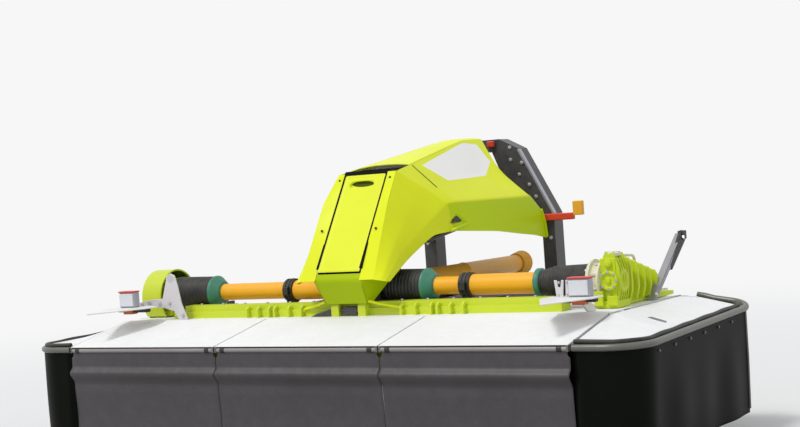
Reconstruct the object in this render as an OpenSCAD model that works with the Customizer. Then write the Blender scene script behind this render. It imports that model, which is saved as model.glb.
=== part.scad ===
/* [Overall] */
// Length of the deck's centre part along the travel direction
deck_l = 1620; // [1500:10:1760]
// How far the deck reaches over each side plate
deck_over = 94; // [80:2:120]
// Distance from the deck's front edge to the rear end of the drive line
overall_l = 2800; // [2740:10:2880]
// Height of the deck's flat part over the floor
deck_z = 760; // [740:5:800]
// Sheet thickness of the deck
deck_t = 10; // [6:1:14]

/* [Cutterbar] */
// Number of mowing discs
disc_count = 8; // [8:1:8]
// Distance of the outer discs' centres inside the side plates
disc_inset = 65; // [60:1:75]
// Distance of the disc row behind the deck's front edge
disc_y = 540; // [520:5:560]
// Gap between a knife tip's circle and the next disc's flank
knife_gap = 18; // [16:1:30]
// Width of a knife blade
knife_w = 46; // [30:1:50]
// Thickness of a knife blade
knife_t = 4; // [3:1:6]
// Half of the disc's long axis
disc_r = 190; // [170:1:200]
// Half of the disc's short axis
disc_short_r = 130; // [110:1:134]
// Thickness of the disc plate
disc_t = 8; // [6:1:12]
// Height of the closed gear bed of the bar
bar_h = 60; // [50:1:70]
// Thickness of the skids under the bar
skid_t = 20; // [12:1:30]
// Width of one skid
skid_w = 300; // [240:5:340]
// Height of the bearing housings on the bar
housing_h = 18; // [12:1:26]
// Radius of the bearing housings
housing_r = 70; // [55:1:85]

/* [Conditioner] */
// Distance of the rotor behind the deck's front edge
rotor_y = 1040; // [1020:5:1070]
// Height of the rotor's axis
rotor_z = 430; // [410:5:440]
// Radius over the tine tips
tine_r = 240; // [220:2:245]
// Radius of the rotor tube
rotor_tube_r = 85; // [60:1:100]
// Radius of the rotor's end shafts
rotor_shaft_r = 28; // [20:1:35]
// Number of tine rows around the tube
tine_rows = 4; // [3:1:6]
// Number of tine pairs in a row
tine_pairs = 14; // [8:1:18]
// Width of one tine
tine_w = 34; // [20:1:40]
// Thickness of one tine
tine_t = 10; // [6:1:14]
// Distance between the inner faces of the side plates
housing_w = 3000; // [2960:10:3040]
// Thickness of the side plates
plate_t = 16; // [10:1:24]
// Inner radius of the conditioner's hood
cond_r = 262; // [256:1:270]
// Thickness of the conditioner's hood
cond_t = 6; // [4:1:10]
// Length of a swath board
board_l = 520; // [400:10:600]
// Height of a swath board
board_h = 260; // [200:10:300]

/* [Front covers] */
// Depth of the sloping front covers
cover_l = 500; // [480:5:510]
// Height of the front edge over the floor
front_z = 660; // [640:5:680]
// Thickness of a front cover
cover_t = 24; // [16:1:32]
// Half width of the middle front cover
seam_x = 533; // [500:5:560]
// Gap between neighbouring covers
seam_gap = 10; // [6:1:16]
// Height of the curtains' lower edge over the floor
curtain_z = 95; // [70:5:140]
// Thickness of the curtains
curtain_t = 8; // [5:1:12]
// Radius of the tube that carries a front curtain
rail_r = 13; // [10:1:16]

/* [Side covers] */
// Distance that a side cover's outer tube reaches past the deck's edge
side_reach = 340; // [290:10:390]
// Radius of the outer tube
tube_r = 18; // [14:1:30]
// Radius of the tube's front corner
front_bend = 210; // [150:10:260]
// Radius of the tube's rear corner
rear_bend = 110; // [80:10:160]
// Rise of the side cover's outer tube from front to rear
tube_rise = 30; // [0:2:50]
// Distance of a cover's hinge axis from the deck's edge
hinge_gap = 8; // [7:0.5:12]
// Outer radius of the covers' hinge knuckles
knuckle_r = 8; // [7:0.5:10]
// Radius of the covers' hinge pins
hinge_pin_r = 5; // [3:0.5:5]

/* [Frame] */
// Distance of the cross beam behind the front edge
beam_y = 650; // [640:5:655]
// Width of the cross beam
beam_w = 110; // [90:5:115]
// Height of the cross beam
beam_h = 75; // [70:5:100]
// Distance from an outer gearbox to the cross beam's end
beam_inset = 100; // [60:5:140]
// Half distance between the boom's side plates
boom_x = 125; // [115:5:130]
// Thickness of the boom's plates
boom_t = 20; // [12:1:24]
// Radius of the boom's base pin
boom_pin_r = 25; // [18:1:30]
// Distance of the headstock's front face behind the front edge
head_y = 2270; // [2262:2:2300]
// Depth of the headstock's profiles
head_t = 130; // [100:5:150]
// Half width of the headstock at its legs
head_x = 490; // [480:5:520]
// Height of the headstock's apex
head_top = 1740; // [1700:5:1780]
// Half width of the headstock at its apex
apex_x = 130; // [110:5:150]
// Width of a headstock leg
leg_w = 90; // [80:5:100]
// Height of the boom's lower edge at the headstock
boom_low = 1310; // [1300:5:1320]
// Depth of the boom's plates at the headstock
boom_depth = 140; // [120:5:150]
// Height where the headstock's slanting legs meet the upright ones
head_knee = 1240; // [1200:5:1280]
// Height of the lower link pins
pin_z = 620; // [580:5:660]
// Radius of the lower link pins
pin_r = 18.3; // [14:0.1:20]
// Length of the lower link pins
pin_l = 140; // [100:5:160]
// Height of the upper link's bore
top_link_z = 1380; // [1360:5:1400]
// Radius of the upper link's bore
top_link_r = 16; // [12.5:0.5:19]
// Width of a parking stand's square tube
stand_w = 60; // [50:1:80]

/* [Drive] */
// Distance of the side drive shafts behind the front edge
shaft_y = 790; // [780:5:810]
// Height of the side drive shafts
shaft_z = 900; // [890:5:930]
// Radius of the thin guard tube
thin_r = 50; // [44:1:54]
// Radius of the thick guard tube
thick_r = 58; // [56:1:64]
// Largest radius of the guard bells
bell_r = 102; // [90:1:106]
// Distance of an outer gearbox's inner face inside the side plate
gear_inset = 100; // [90:5:120]
// Width of an outer gearbox
gear_w = 180; // [160:5:185]
// Radius of the arched drum guard
drum_r = 170; // [168:1:180]
// Width of the arched drum guard
drum_w = 150; // [110:5:155]
// Height of the left gearbox's tall body
gear_top = 1035; // [1010:5:1060]
// Length of the left gearbox's ribbed casing behind its tall body
casing_l = 400; // [340:10:430]
// Radius of the splined bore of the input yoke
spline_r = 17.4; // [15:0.1:22.5]
// Depth of the input yoke's bore
spline_l = 90; // [70:5:120]

/* [Lamps] */
// Distance of a lamp's middle inside the deck's edge
lamp_inset = 116; // [112:1:130]
// Width of a lamp
lamp_w = 120; // [100:5:130]
// Height of a lamp
lamp_h = 95; // [80:5:110]
// Height of the pointed plates under the lamps
shelf_z = 845; // [830:5:870]
// Thickness of the pointed plates
shelf_t = 6; // [4:1:8]
// Distance of a plate's tip behind the deck's front edge
shelf_tip = 10; // [0:5:60]

/* [Hood] */
// Thickness of the hood's panels
hood_t = 10; // [6:1:14]
// Gap around the hood's flap
flap_gap = 6; // [4:1:10]

/* [Hidden] */
$fn = 48;
run_gap = 0.3;
front_y = -overall_l / 2;
deck_w = housing_w + 2 * (plate_t + deck_over);
disc_pitch = (housing_w - 2 * disc_inset) / (disc_count - 1);
knife_r = disc_pitch - disc_short_r - knife_gap;
gear_x = housing_w / 2 - gear_inset;
beam_half = gear_x - beam_inset;
bar_z0 = skid_t;
bar_z1 = bar_z0 + bar_h;
hub_z = bar_z1 + housing_h;

lime = [0.80, 0.86, 0.18];
white = [0.96, 0.96, 0.97];
dark = [0.14, 0.14, 0.15];
anthracite = [0.28, 0.28, 0.30];
steel = [0.75, 0.76, 0.78];
yellow = [0.94, 0.66, 0.14];
red = [0.85, 0.22, 0.18];
rubber_grey = [0.30, 0.29, 0.30];

module from_front() { translate([0, front_y, 0]) children(); }
module mirrored(side) { mirror([side < 0 ? 1 : 0, 0, 0]) children(); }
module side_profile(x0, x1) {
    translate([x0, 0, 0]) rotate([90, 0, 90]) linear_extrude(x1 - x0) children();
}
module rod_x(x0, x1, y, z, r) { translate([x0, y, z]) rotate([0, 90, 0]) cylinder(h = x1 - x0, r = r); }
module rod_y(y0, y1, x, z, r) { translate([x, y0, z]) rotate([-90, 0, 0]) cylinder(h = y1 - y0, r = r); }
module block(x, y, z) {
    translate([x[0], y[0], z[0]]) cube([x[1] - x[0], y[1] - y[0], z[1] - z[0]]);
}

// A round bar swept along a path; ref is a direction square to no stretch of it
module sweep(path, r, sides, ref) {
    n = len(path);
    function unit(v) = v / norm(v);
    function tangent(i) = i == 0 ? unit(path[1] - path[0]) : i == n - 1 ? unit(path[n - 1] - path[n - 2])
        : unit(unit(path[i + 1] - path[i]) + unit(path[i] - path[i - 1]));
    points = [for (i = [0 : n - 1]) let (t = tangent(i), u = unit(cross(t, ref)), v = cross(t, u))
        for (k = [0 : sides - 1]) path[i] + r * (cos(360 * k / sides) * u + sin(360 * k / sides) * v)];
    sides_faces = [for (i = [0 : n - 2]) for (k = [0 : sides - 1]) let (a = i * sides + k,
        b = i * sides + (k + 1) % sides) each [[a, a + sides, b], [b, a + sides, b + sides]]];
    front = [for (k = [0 : sides - 1]) k];
    back = [for (k = [sides - 1 : -1 : 0]) (n - 1) * sides + k];
    polyhedron(points = points, faces = concat(sides_faces, [front, back]));
}

// A closed shell over a grid of points, made thick along one direction
module shell(grid, thick) {
    nr = len(grid);
    nc = len(grid[0]);
    n = nr * nc;
    outer = [for (row = grid) for (p = row) p];
    inner = [for (p = outer) p + thick];
    function id(i, j) = i * nc + j;
    rim = concat([for (j = [0 : nc - 1]) id(0, j)], [for (i = [1 : nr - 1]) id(i, nc - 1)],
        [for (j = [nc - 2 : -1 : 0]) id(nr - 1, j)], [for (i = [nr - 2 : -1 : 1]) id(i, 0)]);
    quads = [for (i = [0 : nr - 2]) for (j = [0 : nc - 2])
        [id(i, j), id(i, j + 1), id(i + 1, j + 1), id(i + 1, j)]];
    top = [for (q = quads) each [[q[0], q[1], q[2]], [q[0], q[2], q[3]]]];
    low = [for (t = top) [t[2] + n, t[1] + n, t[0] + n]];
    m = len(rim);
    facing = cross(grid[0][1] - grid[0][0], grid[1][1] - grid[0][0]) * thick;
    edge = [for (k = [0 : m - 1]) each [
        [rim[(k + 1) % m], rim[k], rim[k] + n],
        [rim[(k + 1) % m], rim[k] + n, rim[(k + 1) % m] + n]]];
    faces = concat(top, low, edge);
    polyhedron(points = concat(outer, inner),
        faces = facing > 0 ? faces : [for (f = faces) [f[2], f[1], f[0]]]);
}

// Disc row
function disc_x(i) = (i - (disc_count + 1) / 2) * disc_pitch;
bar_back = 170;
bar_half = housing_w / 2 + 50;
lug_w = 60;
lug_back = 900;

module cutterbar() color(anthracite) from_front() {
    translate([0, 0, bar_z0]) linear_extrude(bar_h) {
        for (i = [1 : disc_count]) translate([disc_x(i), disc_y]) circle(r = 150, $fn = 64);
        translate([-bar_half, disc_y - 40]) square([2 * bar_half, bar_back + 40]);
    }
    for (i = [1 : disc_count])
        translate([disc_x(i), disc_y, bar_z1 - 1]) cylinder(h = housing_h + 1, r = housing_r);
    for (s = [-1, 1]) mirrored(s)
        block([housing_w / 2 - lug_w, housing_w / 2], [disc_y + bar_back - 1, lug_back], [bar_z0, bar_z1]);
}

module skid_shoes() color(steel) from_front()
    for (i = [1 : disc_count])
        side_profile(disc_x(i) - skid_w / 2, disc_x(i) + skid_w / 2)
            polygon([[disc_y - 155, skid_t], [disc_y - 170, skid_t - 4], [disc_y - 120, 0],
                [disc_y + bar_back, 0], [disc_y + bar_back + 40, skid_t - 8], [disc_y + bar_back, skid_t]]);

module mowing_disc(i) from_front() translate([disc_x(i), disc_y, hub_z + run_gap])
    rotate([0, 0, 90 * (i % 2)]) {
    lens_r = (disc_r * disc_r + disc_short_r * disc_short_r) / (2 * disc_short_r);
    hub_h = 12;
    color(anthracite) cylinder(h = hub_h + 1, r = housing_r - 8);
    color(anthracite) translate([0, 0, hub_h]) linear_extrude(disc_t) intersection() {
        translate([0, lens_r - disc_short_r]) circle(r = lens_r, $fn = 96);
        translate([0, disc_short_r - lens_r]) circle(r = lens_r, $fn = 96);
        circle(r = disc_r - 12, $fn = 96);
    }
    color(anthracite) translate([0, 0, hub_h + disc_t - 1]) cylinder(h = 26, r1 = 110, r2 = 60);
    color(steel) for (a = [0, 180]) rotate([0, 0, a])
        translate([disc_r - 70, -knife_w / 2, hub_h - knife_t + 0.5])
        cube([knife_r - disc_r + 70, knife_w, knife_t]);
}

module disc_1() mowing_disc(1);
module disc_2() mowing_disc(2);
module disc_3() mowing_disc(3);
module disc_4() mowing_disc(4);
module disc_5() mowing_disc(5);
module disc_6() mowing_disc(6);
module disc_7() mowing_disc(7);
module disc_8() mowing_disc(8);

// Conditioner
rotor_half = housing_w / 2 - 20;
tine_step = 2 * (rotor_half - 60) / tine_pairs;
board_x = housing_w / 2 - 320;
board_pin_r = 12;

module rotor() color(lime) from_front() {
    rod_x(-rotor_half, rotor_half, rotor_y, rotor_z, rotor_tube_r);
    rod_x(-housing_w / 2 - plate_t, housing_w / 2 + plate_t, rotor_y, rotor_z, rotor_shaft_r);
    translate([0, rotor_y, rotor_z])
        for (k = [0 : tine_rows - 1]) rotate([360 * k / tine_rows + 20, 0, 0])
            for (j = [0 : tine_pairs - 1])
                translate([-rotor_half + 60 + (j + 0.5 * (k % 2) + 0.25) * tine_step, 0, 0])
                for (s = [-1, 1]) rotate([0, 14 * s, 0])
                    translate([-tine_t / 2 + 14 * s, -tine_w / 2, rotor_tube_r - 8])
                        cube([tine_t, tine_w, (tine_r - rotor_tube_r) / cos(14) - 4]);
}

function deck_top(y) = y < cover_l ? front_z + (deck_z - front_z) / cover_l * y
    : y < deck_l - 200 ? deck_z : deck_z - (y - deck_l + 200) * 0.1;
deck_y0 = cover_l + 0.5;
rail_y = rail_r;
rail_clear = 5;
lip_t = 3;
rail_z = front_z - lip_t - rail_clear - rail_r;
side_hinge_x = deck_w / 2 + hinge_gap;
side_hinge_z = deck_z - knuckle_r;
knuckle_l = 90;
ear_t = 8;
side_knuckles = [640, 1360];
apron_z = 620;

plate_y0 = 90;
plate_back = deck_l - 60;
plate_low = 420;
function cover_low(y) = deck_top(y) - cover_t - run_gap;
module side_plate_outline() polygon([[lug_back - 80, bar_z0], [lug_back + 60, bar_z0],
    [plate_back - 240, bar_z0 + 170],
    [plate_back, plate_low], [plate_back, deck_top(plate_back) - deck_t - 1],
        [deck_l - 200, deck_z - deck_t],
    [deck_y0, deck_z - deck_t], [deck_y0, cover_low(cover_l)], [plate_y0, cover_low(plate_y0)],
    [plate_y0, cover_low(plate_y0) - 30],
    [420, 600], [560, 330], [lug_back - 80, 240]]);

module side_plates() color(lime) from_front() for (s = [-1, 1]) mirrored(s) difference() {
    union() {
        side_profile(housing_w / 2, housing_w / 2 + plate_t) side_plate_outline();
        rod_x(housing_w / 2 + 1, housing_w / 2 + plate_t + 24, rotor_y, rotor_z, 75);
    }
    rod_x(housing_w / 2 - 1, housing_w / 2 + plate_t + 12, rotor_y, rotor_z, rotor_shaft_r + run_gap);
}

module conditioner_hood() color(lime) from_front()
    side_profile(-housing_w / 2, housing_w / 2) translate([rotor_y, rotor_z]) difference() {
        intersection() {
            circle(r = cond_r + cond_t, $fn = 96);
            polygon([[-420, 60], [-420, 420], [420, 420], [420, 140], [0, 0]]);
        }
        circle(r = cond_r, $fn = 96);
    }

module deck_cover() color(white) from_front() {
    for (s = [-1, 1]) mirrored(s) for (y = side_knuckles) {
        rod_y(y - ear_t, y + knuckle_l + ear_t, side_hinge_x, side_hinge_z, hinge_pin_r);
        for (e = [y - ear_t - 0.5, y + knuckle_l + 0.5]) {
            rod_y(e, e + ear_t, side_hinge_x, side_hinge_z, knuckle_r);
            block([deck_w / 2 - 30, side_hinge_x], [e, e + ear_t],
                [side_hinge_z - knuckle_r, side_hinge_z + 2]);
        }
    }
    for (s = [-1, 1]) mirrored(s) difference() {
        block([board_x - 30, board_x + 30], [deck_l - 1, deck_l + 56], [apron_z, apron_z + 14]);
        translate([board_x, deck_l + 30, apron_z - 1]) cylinder(h = 16, r = board_pin_r + run_gap);
    }
    side_profile(-deck_w / 2, deck_w / 2) polygon([
        [deck_y0, deck_z], [deck_l - 200, deck_z], [deck_l - 20, deck_z - 18],
        [deck_l, deck_z - 50], [deck_l, apron_z], [deck_l - deck_t, apron_z],
        [deck_l - deck_t, deck_z - 54], [deck_l - 28, deck_z - 18 - deck_t],
        [deck_l - 200, deck_z - deck_t], [deck_y0, deck_z - deck_t]]);
    block([-housing_w / 2, housing_w / 2], [deck_y0, deck_y0 + 60], [deck_z - 60, deck_z - deck_t + 1]);
}

module swath_board(side) color(lime) from_front() mirrored(side) {
    translate([board_x, deck_l + 30, 0]) {
        translate([0, 0, apron_z - 20 - board_h]) cylinder(h = board_h + 34, r = board_pin_r);
        translate([0, 0, apron_z - 20]) cylinder(h = 20 - run_gap, r = board_pin_r + 8);
        translate([-5, 0, apron_z - 20 - board_h]) rotate([0, 0, 14]) cube([10, board_l, board_h]);
    }
}
module swath_board_left() swath_board(1);
module swath_board_right() swath_board(-1);

// Cross beam with the clevis feet of the boom
beam_top = deck_z + beam_h;
base_y = 553;
lug_row = [330, 420, 520, 560, 640, 720];
module main_beam() color(lime) from_front() {
    block([-beam_half, beam_half], [beam_y - beam_w / 2, beam_y + beam_w / 2],
        [deck_z, deck_z + beam_h * 0.55]);
    block([-beam_half + 80, beam_half - 80], [beam_y - beam_w / 2 + 12, beam_y + beam_w / 2 - 12],
        [deck_z + beam_h * 0.5, beam_top]);
    for (s = [-1, 1]) mirrored(s) {
        difference() {
            side_profile(boom_x - 60, boom_x - boom_t / 2) polygon([[base_y, deck_z], [beam_y + 50, deck_z],
                [beam_y + 40, beam_top + 120], [beam_y - 20, beam_top + 120], [base_y, beam_top - 20]]);
            rod_x(boom_x - 80, boom_x, beam_y + 10, beam_top + 70, boom_pin_r + run_gap);
        }
    }
    // Hooked lugs in front of the beam, for the deck's front covers
    for (s = [-1, 1]) mirrored(s) for (x = lug_row) difference() {
        side_profile(x, x + 14) polygon([[base_y + 10, deck_z], [beam_y - beam_w / 2 + 20, deck_z],
            [beam_y - beam_w / 2 + 20, deck_z + 52], [base_y + 36, deck_z + 66],
                [base_y + 12, deck_z + 50]]);
        rod_x(x - 1, x + 15, base_y + 34, deck_z + 40, 9);
    }
}

// Boom: two arched plates from the cross beam to the headstock
module boom_outline() polygon([[beam_y - 50, beam_top + 1], [beam_y + 40, beam_top + 1],
    [beam_y + 45, 1010],
    [beam_y + 350, boom_low - 80], [beam_y + 550, boom_low], [head_y, boom_low],
    [head_y, boom_low + boom_depth], [beam_y + 900, boom_low + boom_depth + 90],
        [beam_y + 410, boom_low + boom_depth + 10],
    [beam_y + 180, boom_low - 10], [beam_y - 40, 1010]]);
carrier_gap = 1.8;
module boom() color(anthracite) from_front() {
    for (s = [-1, 1]) mirrored(s) side_profile(boom_x - boom_t / 2, boom_x + boom_t / 2) boom_outline();
    rod_x(-boom_x, boom_x, beam_y + 10, beam_top + 70, boom_pin_r);
    rod_x(-boom_x, boom_x, beam_y + 530, boom_low + 90, 45);
    rod_x(-boom_x, boom_x, cyl_y1, cyl_z1, cyl_pin_r);
    for (s = [-1, 1]) mirrored(s) side_profile(boom_x - boom_t / 2, boom_x + boom_t / 2)
        polygon([[cyl_y1 - 40, boom_low + 10], [cyl_y1 - 25, cyl_z1 - 30], [cyl_y1 + 25, cyl_z1 - 30],
            [cyl_y1 + 40, boom_low + 10]]);
    for (i = [3, 5]) let (p = hood_grid[i][2]) for (s = [-1, 1]) mirrored(s)
        block([boom_x, p[0] - hood_t - carrier_gap], [p[1] - 8, p[1] + 8], [p[2] - 9, p[2] - 2]);
    block([-boom_x, boom_x], [head_y - 40, head_y], [boom_low + 10, boom_low + boom_depth - 10]);
}

module lower_arms() color(anthracite) from_front() for (s = [-1, 1]) mirrored(s)
    side_profile(arm_x, arm_x + 40) polygon([[beam_y + beam_w / 2, deck_z + 20], [deck_l + 20, deck_z + 8],
        [head_y, pin_z], [head_y, pin_z + 70], [deck_l + 60, deck_z + 70],
            [beam_y + beam_w / 2, deck_z + 60]]);

// Headstock
shoulder_x = apex_x + 135;
shoulder_z = head_top - 70;
window_top = head_knee + 50;
socket_t = 12;
stand_clear = 0.5;
stand_x = head_x - leg_w / 2;
stand_y = head_y + head_t + socket_t + stand_clear + stand_w / 2;
socket_half = stand_w / 2 + stand_clear + socket_t;
module headstock() color(anthracite) from_front() {
    difference() {
        translate([0, head_y + head_t, 0]) rotate([90, 0, 0]) linear_extrude(head_t) difference() {
            polygon([[-head_x, pin_z - 80], [-head_x, head_knee], [-shoulder_x, shoulder_z],
                [-apex_x, head_top],
                [apex_x, head_top], [shoulder_x, shoulder_z], [head_x, head_knee], [head_x, pin_z - 80]]);
            polygon([[-head_x + leg_w, pin_z + 70], [-head_x + leg_w, head_knee - 30], [-170, window_top],
                [170, window_top], [head_x - leg_w, head_knee - 30], [head_x - leg_w, pin_z + 70]]);
            polygon([[-150, window_top + 170], [-70, head_top - 80], [70, head_top - 80],
                [150, window_top + 170]]);
        }
    }
    for (s = [-1, 1]) mirrored(s) {
        rod_x(head_x - 1, head_x + 24, head_y + head_t / 2, pin_z, 45);
        rod_x(head_x, head_x + 24 + pin_l, head_y + head_t / 2, pin_z, pin_r);
        difference() {
            side_profile(38, 62) polygon([[head_y + head_t - 1, top_link_z - 60],
                [head_y + head_t + 80, top_link_z - 45],
                [head_y + head_t + 80, top_link_z + 45], [head_y + head_t - 1, top_link_z + 60]]);
            rod_x(30, 70, head_y + head_t + 40, top_link_z, top_link_r);
        }
        difference() {
            block([stand_x - socket_half, stand_x + socket_half],
                [head_y + head_t - 1, stand_y + socket_half],
                [pin_z - 60, pin_z + 160]);
            block([stand_x - stand_w / 2 - stand_clear, stand_x + stand_w / 2 + stand_clear],
                [stand_y - stand_w / 2 - stand_clear, stand_y + stand_w / 2 + stand_clear],
                [pin_z - 61, pin_z + 161]);
        }
    }
    block([-20, 20], [head_y + 20, head_y + 50], [pin_z + 69, shaft_z - thick_r - run_gap]);
}

module lever() color(red) from_front() {
    block([50, 100], [head_y - 30, head_y - run_gap], [head_top - 50, head_top - 10]);
    block([head_x - leg_w, head_x + 150], [head_y - 34, head_y - run_gap], [head_knee - 50, head_knee - 6]);
    block([head_x + 149, head_x + 215], [head_y - 36, head_y - run_gap], [head_knee - 24, head_knee + 67]);
}

// Parking stands in the sockets behind the headstock's legs
module stand(side) color(anthracite) from_front() mirrored(side) {
    block([stand_x - stand_w / 2, stand_x + stand_w / 2], [stand_y - stand_w / 2, stand_y + stand_w / 2],
        [10, pin_z + 260]);
    block([stand_x - 80, stand_x + 80], [stand_y - 80, stand_y + 80], [0, 12]);
}
module stand_left() stand(1);
module stand_right() stand(-1);

// Gearboxes
gear_out = 160;
gear_end = 1010;
lug_half = 76;
module gearbox_centre() color(anthracite) from_front() {
    block([-85, 85], [beam_y + beam_w / 2, gear_end], [deck_z, 1000]);
    rod_x(-gear_out, gear_out, shaft_y, shaft_z, 80);
    rod_y(gear_end - 1, gear_nose, 0, shaft_z, 70);
    rod_x(-cyl_x - 20, cyl_x + 20, cyl_y0, cyl_z0, cyl_pin_r);
    side_profile(-lug_half, lug_half) polygon([[cyl_y0 - 60, 990], [gear_end, 990],
        [cyl_y0 + 20, cyl_z0 + 20],
        [cyl_y0 - 20, cyl_z0 + 20]]);
}
module gearbox_body(top) {
    block([gear_x + 20, gear_x + gear_w], [shaft_y - 80, shaft_y + 80], [deck_z, top]);
    rod_x(gear_x, gear_x + 60, shaft_y, shaft_z, 80);
}
casing_y = shaft_y + 79;
rib_t = 14;
rib_pitch = 44;
function casing_top(y) = gear_top - 23 - 0.26 * (y - casing_y);
// The left gearbox: a tall finned body, a sloping casing with upright ribs, and its rear foot on the deck
module gearbox_left() color(lime) from_front() {
    gearbox_body(gear_top);
    for (k = [0 : 4]) let (y = shaft_y - 62 + 28 * k)
        block([gear_x + 44, gear_x + gear_w - 30], [y, y + 12], [gear_top - 1, gear_top + 14]);
    side_profile(gear_x + 40, gear_x + gear_w - 34) polygon([[casing_y, deck_z],
        [casing_y, casing_top(casing_y)],
        [casing_y + casing_l - 30, casing_top(casing_y + casing_l - 30)],
            [casing_y + casing_l, deck_z + 120],
        [casing_y + casing_l - 20, deck_z]]);
    for (y = [casing_y + 16 : rib_pitch : casing_y + casing_l - 40])
        block([gear_x + 54, gear_x + gear_w - 6], [y, y + rib_t], [deck_z + 24, casing_top(y) + 12]);
    block([gear_x + 80, gear_x + gear_w - 20], [casing_y + casing_l - 60, casing_y + casing_l + 250],
        [deck_z, deck_z + 26]);
}
module gearbox_right() color(lime) from_front() mirrored(-1) gearbox_body(985);

// Side drive shafts: a bell, the thin tube, the clamp, the thick tube and a bell again
bell_l = 420;
clamp_x = 670;
module shaft_tubes() color(yellow) from_front() {
    rod_x(bell_l, clamp_x, shaft_y, shaft_z, thin_r);
    rod_x(clamp_x, gear_x - bell_l + gear_out, shaft_y, shaft_z, thick_r);
    rod_x(-gear_x + bell_l - gear_out + 60, -clamp_x + 110, shaft_y, shaft_z, thin_r);
    rod_x(-clamp_x + 110, -gear_out - 40, shaft_y, shaft_z, thick_r);
}
module shaft_guards() color(dark) from_front() {
    rod_x(gear_out, bell_l, shaft_y, shaft_z, bell_r);
    rod_x(gear_x - bell_l + gear_out, gear_x, shaft_y, shaft_z, bell_r - 10);
    rod_x(-gear_x, -gear_x + bell_l - gear_out + 60, shaft_y, shaft_z, bell_r);
    rod_x(-gear_out - 40, -gear_out, shaft_y, shaft_z, bell_r - 10);
}
module shaft_clamps() color(dark) from_front() {
    for (x = [clamp_x - 20, -clamp_x + 110 + 20]) difference() {
        rod_x(x - 30, x + 30, shaft_y, shaft_z, thick_r + 12);
        rod_x(x - 40, x + 40, shaft_y, shaft_z, thick_r + run_gap);
    }
}
drum_y = shaft_y + 20;
drum_z = 880;
drum_t = 8;
module drum_guard() color(lime) from_front() mirrored(-1) difference() {
    side_profile(gear_x + 40, gear_x + 40 + drum_w) difference() {
        intersection() {
            translate([drum_y, drum_z]) circle(r = drum_r, $fn = 64);
            translate([drum_y - drum_r, deck_z]) square([2 * drum_r, 2 * drum_r]);
        }
        translate([drum_y, drum_z]) circle(r = drum_r - drum_t, $fn = 64);
    }
}

// Lamps on pointed plates. The right one is held by a forked plate, the left one by a foot, beside two prongs
lamp_x = deck_w / 2 - lamp_inset;
lamp_y = 414;
lamp_d = 60;
fork_y = 515;
fork_t = 10;
fork_outline = [[lamp_x - 364, deck_z], [lamp_x - 296, deck_z], [lamp_x - 261, deck_z + 54],
    [lamp_x - 194, deck_z + 72], [lamp_x - 69, shelf_z + 1], [lamp_x + 16, shelf_z],
        [lamp_x + 16, shelf_z + 23],
    [lamp_x - 69, shelf_z + 40], [lamp_x - 176, shelf_z + 45], [lamp_x - 204, shelf_z + 129],
    [lamp_x - 219, shelf_z + 183], [lamp_x - 249, shelf_z + 197], [lamp_x - 280, shelf_z + 183],
    [lamp_x - 299, shelf_z + 125], [lamp_x - 321, shelf_z + 16]];
module lamps() color(steel) from_front() {
    for (s = [-1, 1]) mirrored(s) {
        translate([0, 0, shelf_z]) linear_extrude(shelf_t)
            polygon([[lamp_x - 190, lamp_y - 84], [lamp_x - 30, shelf_tip], [lamp_x + 108, lamp_y - 84],
                [lamp_x + 108, lamp_y + 36], [lamp_x + 10, fork_y + fork_t], [lamp_x - 60, fork_y + fork_t],
                [lamp_x - 190, lamp_y + 36]]);
        block([lamp_x - lamp_w / 2, lamp_x + lamp_w / 2], [lamp_y - lamp_d / 2, lamp_y + lamp_d / 2],
            [shelf_z + 1, shelf_z + shelf_t + lamp_h]);
        block([lamp_x - 50, lamp_x + 40], [lamp_y - 24, lamp_y + 30], [shelf_z - 34, shelf_z + 1]);
    }
    mirrored(-1) translate([0, fork_y + fork_t, 0]) rotate([90, 0, 0]) linear_extrude(fork_t)
        polygon(fork_outline);
    side_profile(lamp_x - 30, lamp_x - 18) polygon([[lamp_y + 40, shelf_z + 1], [lamp_y + 40, shelf_z - 20],
        [lamp_y + 120, deck_z], [lamp_y + 220, deck_z], [lamp_y + 220, deck_z + 14],
            [fork_y + fork_t, shelf_z + 1]]);
    translate([0, lamp_y + 4, 0]) rotate([90, 0, 0]) linear_extrude(8) {
        polygon([[lamp_x - 132, shelf_z + 1], [lamp_x - 142, shelf_z + 92], [lamp_x - 126, shelf_z + 92],
            [lamp_x - 120, shelf_z + 56], [lamp_x - 108, shelf_z + 56], [lamp_x - 102, shelf_z + 92],
            [lamp_x - 88, shelf_z + 92], [lamp_x - 96, shelf_z + 1]]);
        polygon([[lamp_x - 82, shelf_z + 1], [lamp_x - 78, shelf_z + 92], [lamp_x - 64, shelf_z + 92],
            [lamp_x - 64, shelf_z + 1]]);
    }
}

// Struts on the deck's edge, leaning back
strut_x = deck_w / 2 - 24;
strut_t = 12;
strut_y = deck_l - 505;
// The right strut lies down on the deck, behind the drum guard
lying_y = strut_y - 155;
lying_bend = deck_l - 200;
lying_end = deck_l - 68;
module fold_struts() color(steel) from_front() {
    side_profile(strut_x, strut_x + strut_t) polygon([[strut_y, deck_z], [strut_y + 45, deck_z],
        [strut_y + 525, deck_z + 315], [strut_y + 485, deck_z + 340]]);
    mirrored(-1) side_profile(strut_x, strut_x + strut_t) polygon([
        for (y = [lying_y, lying_bend, lying_end]) [y, deck_top(y)],
        for (y = [lying_end, lying_bend, lying_y]) [y, deck_top(y) + strut_t]]);
}

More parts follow.
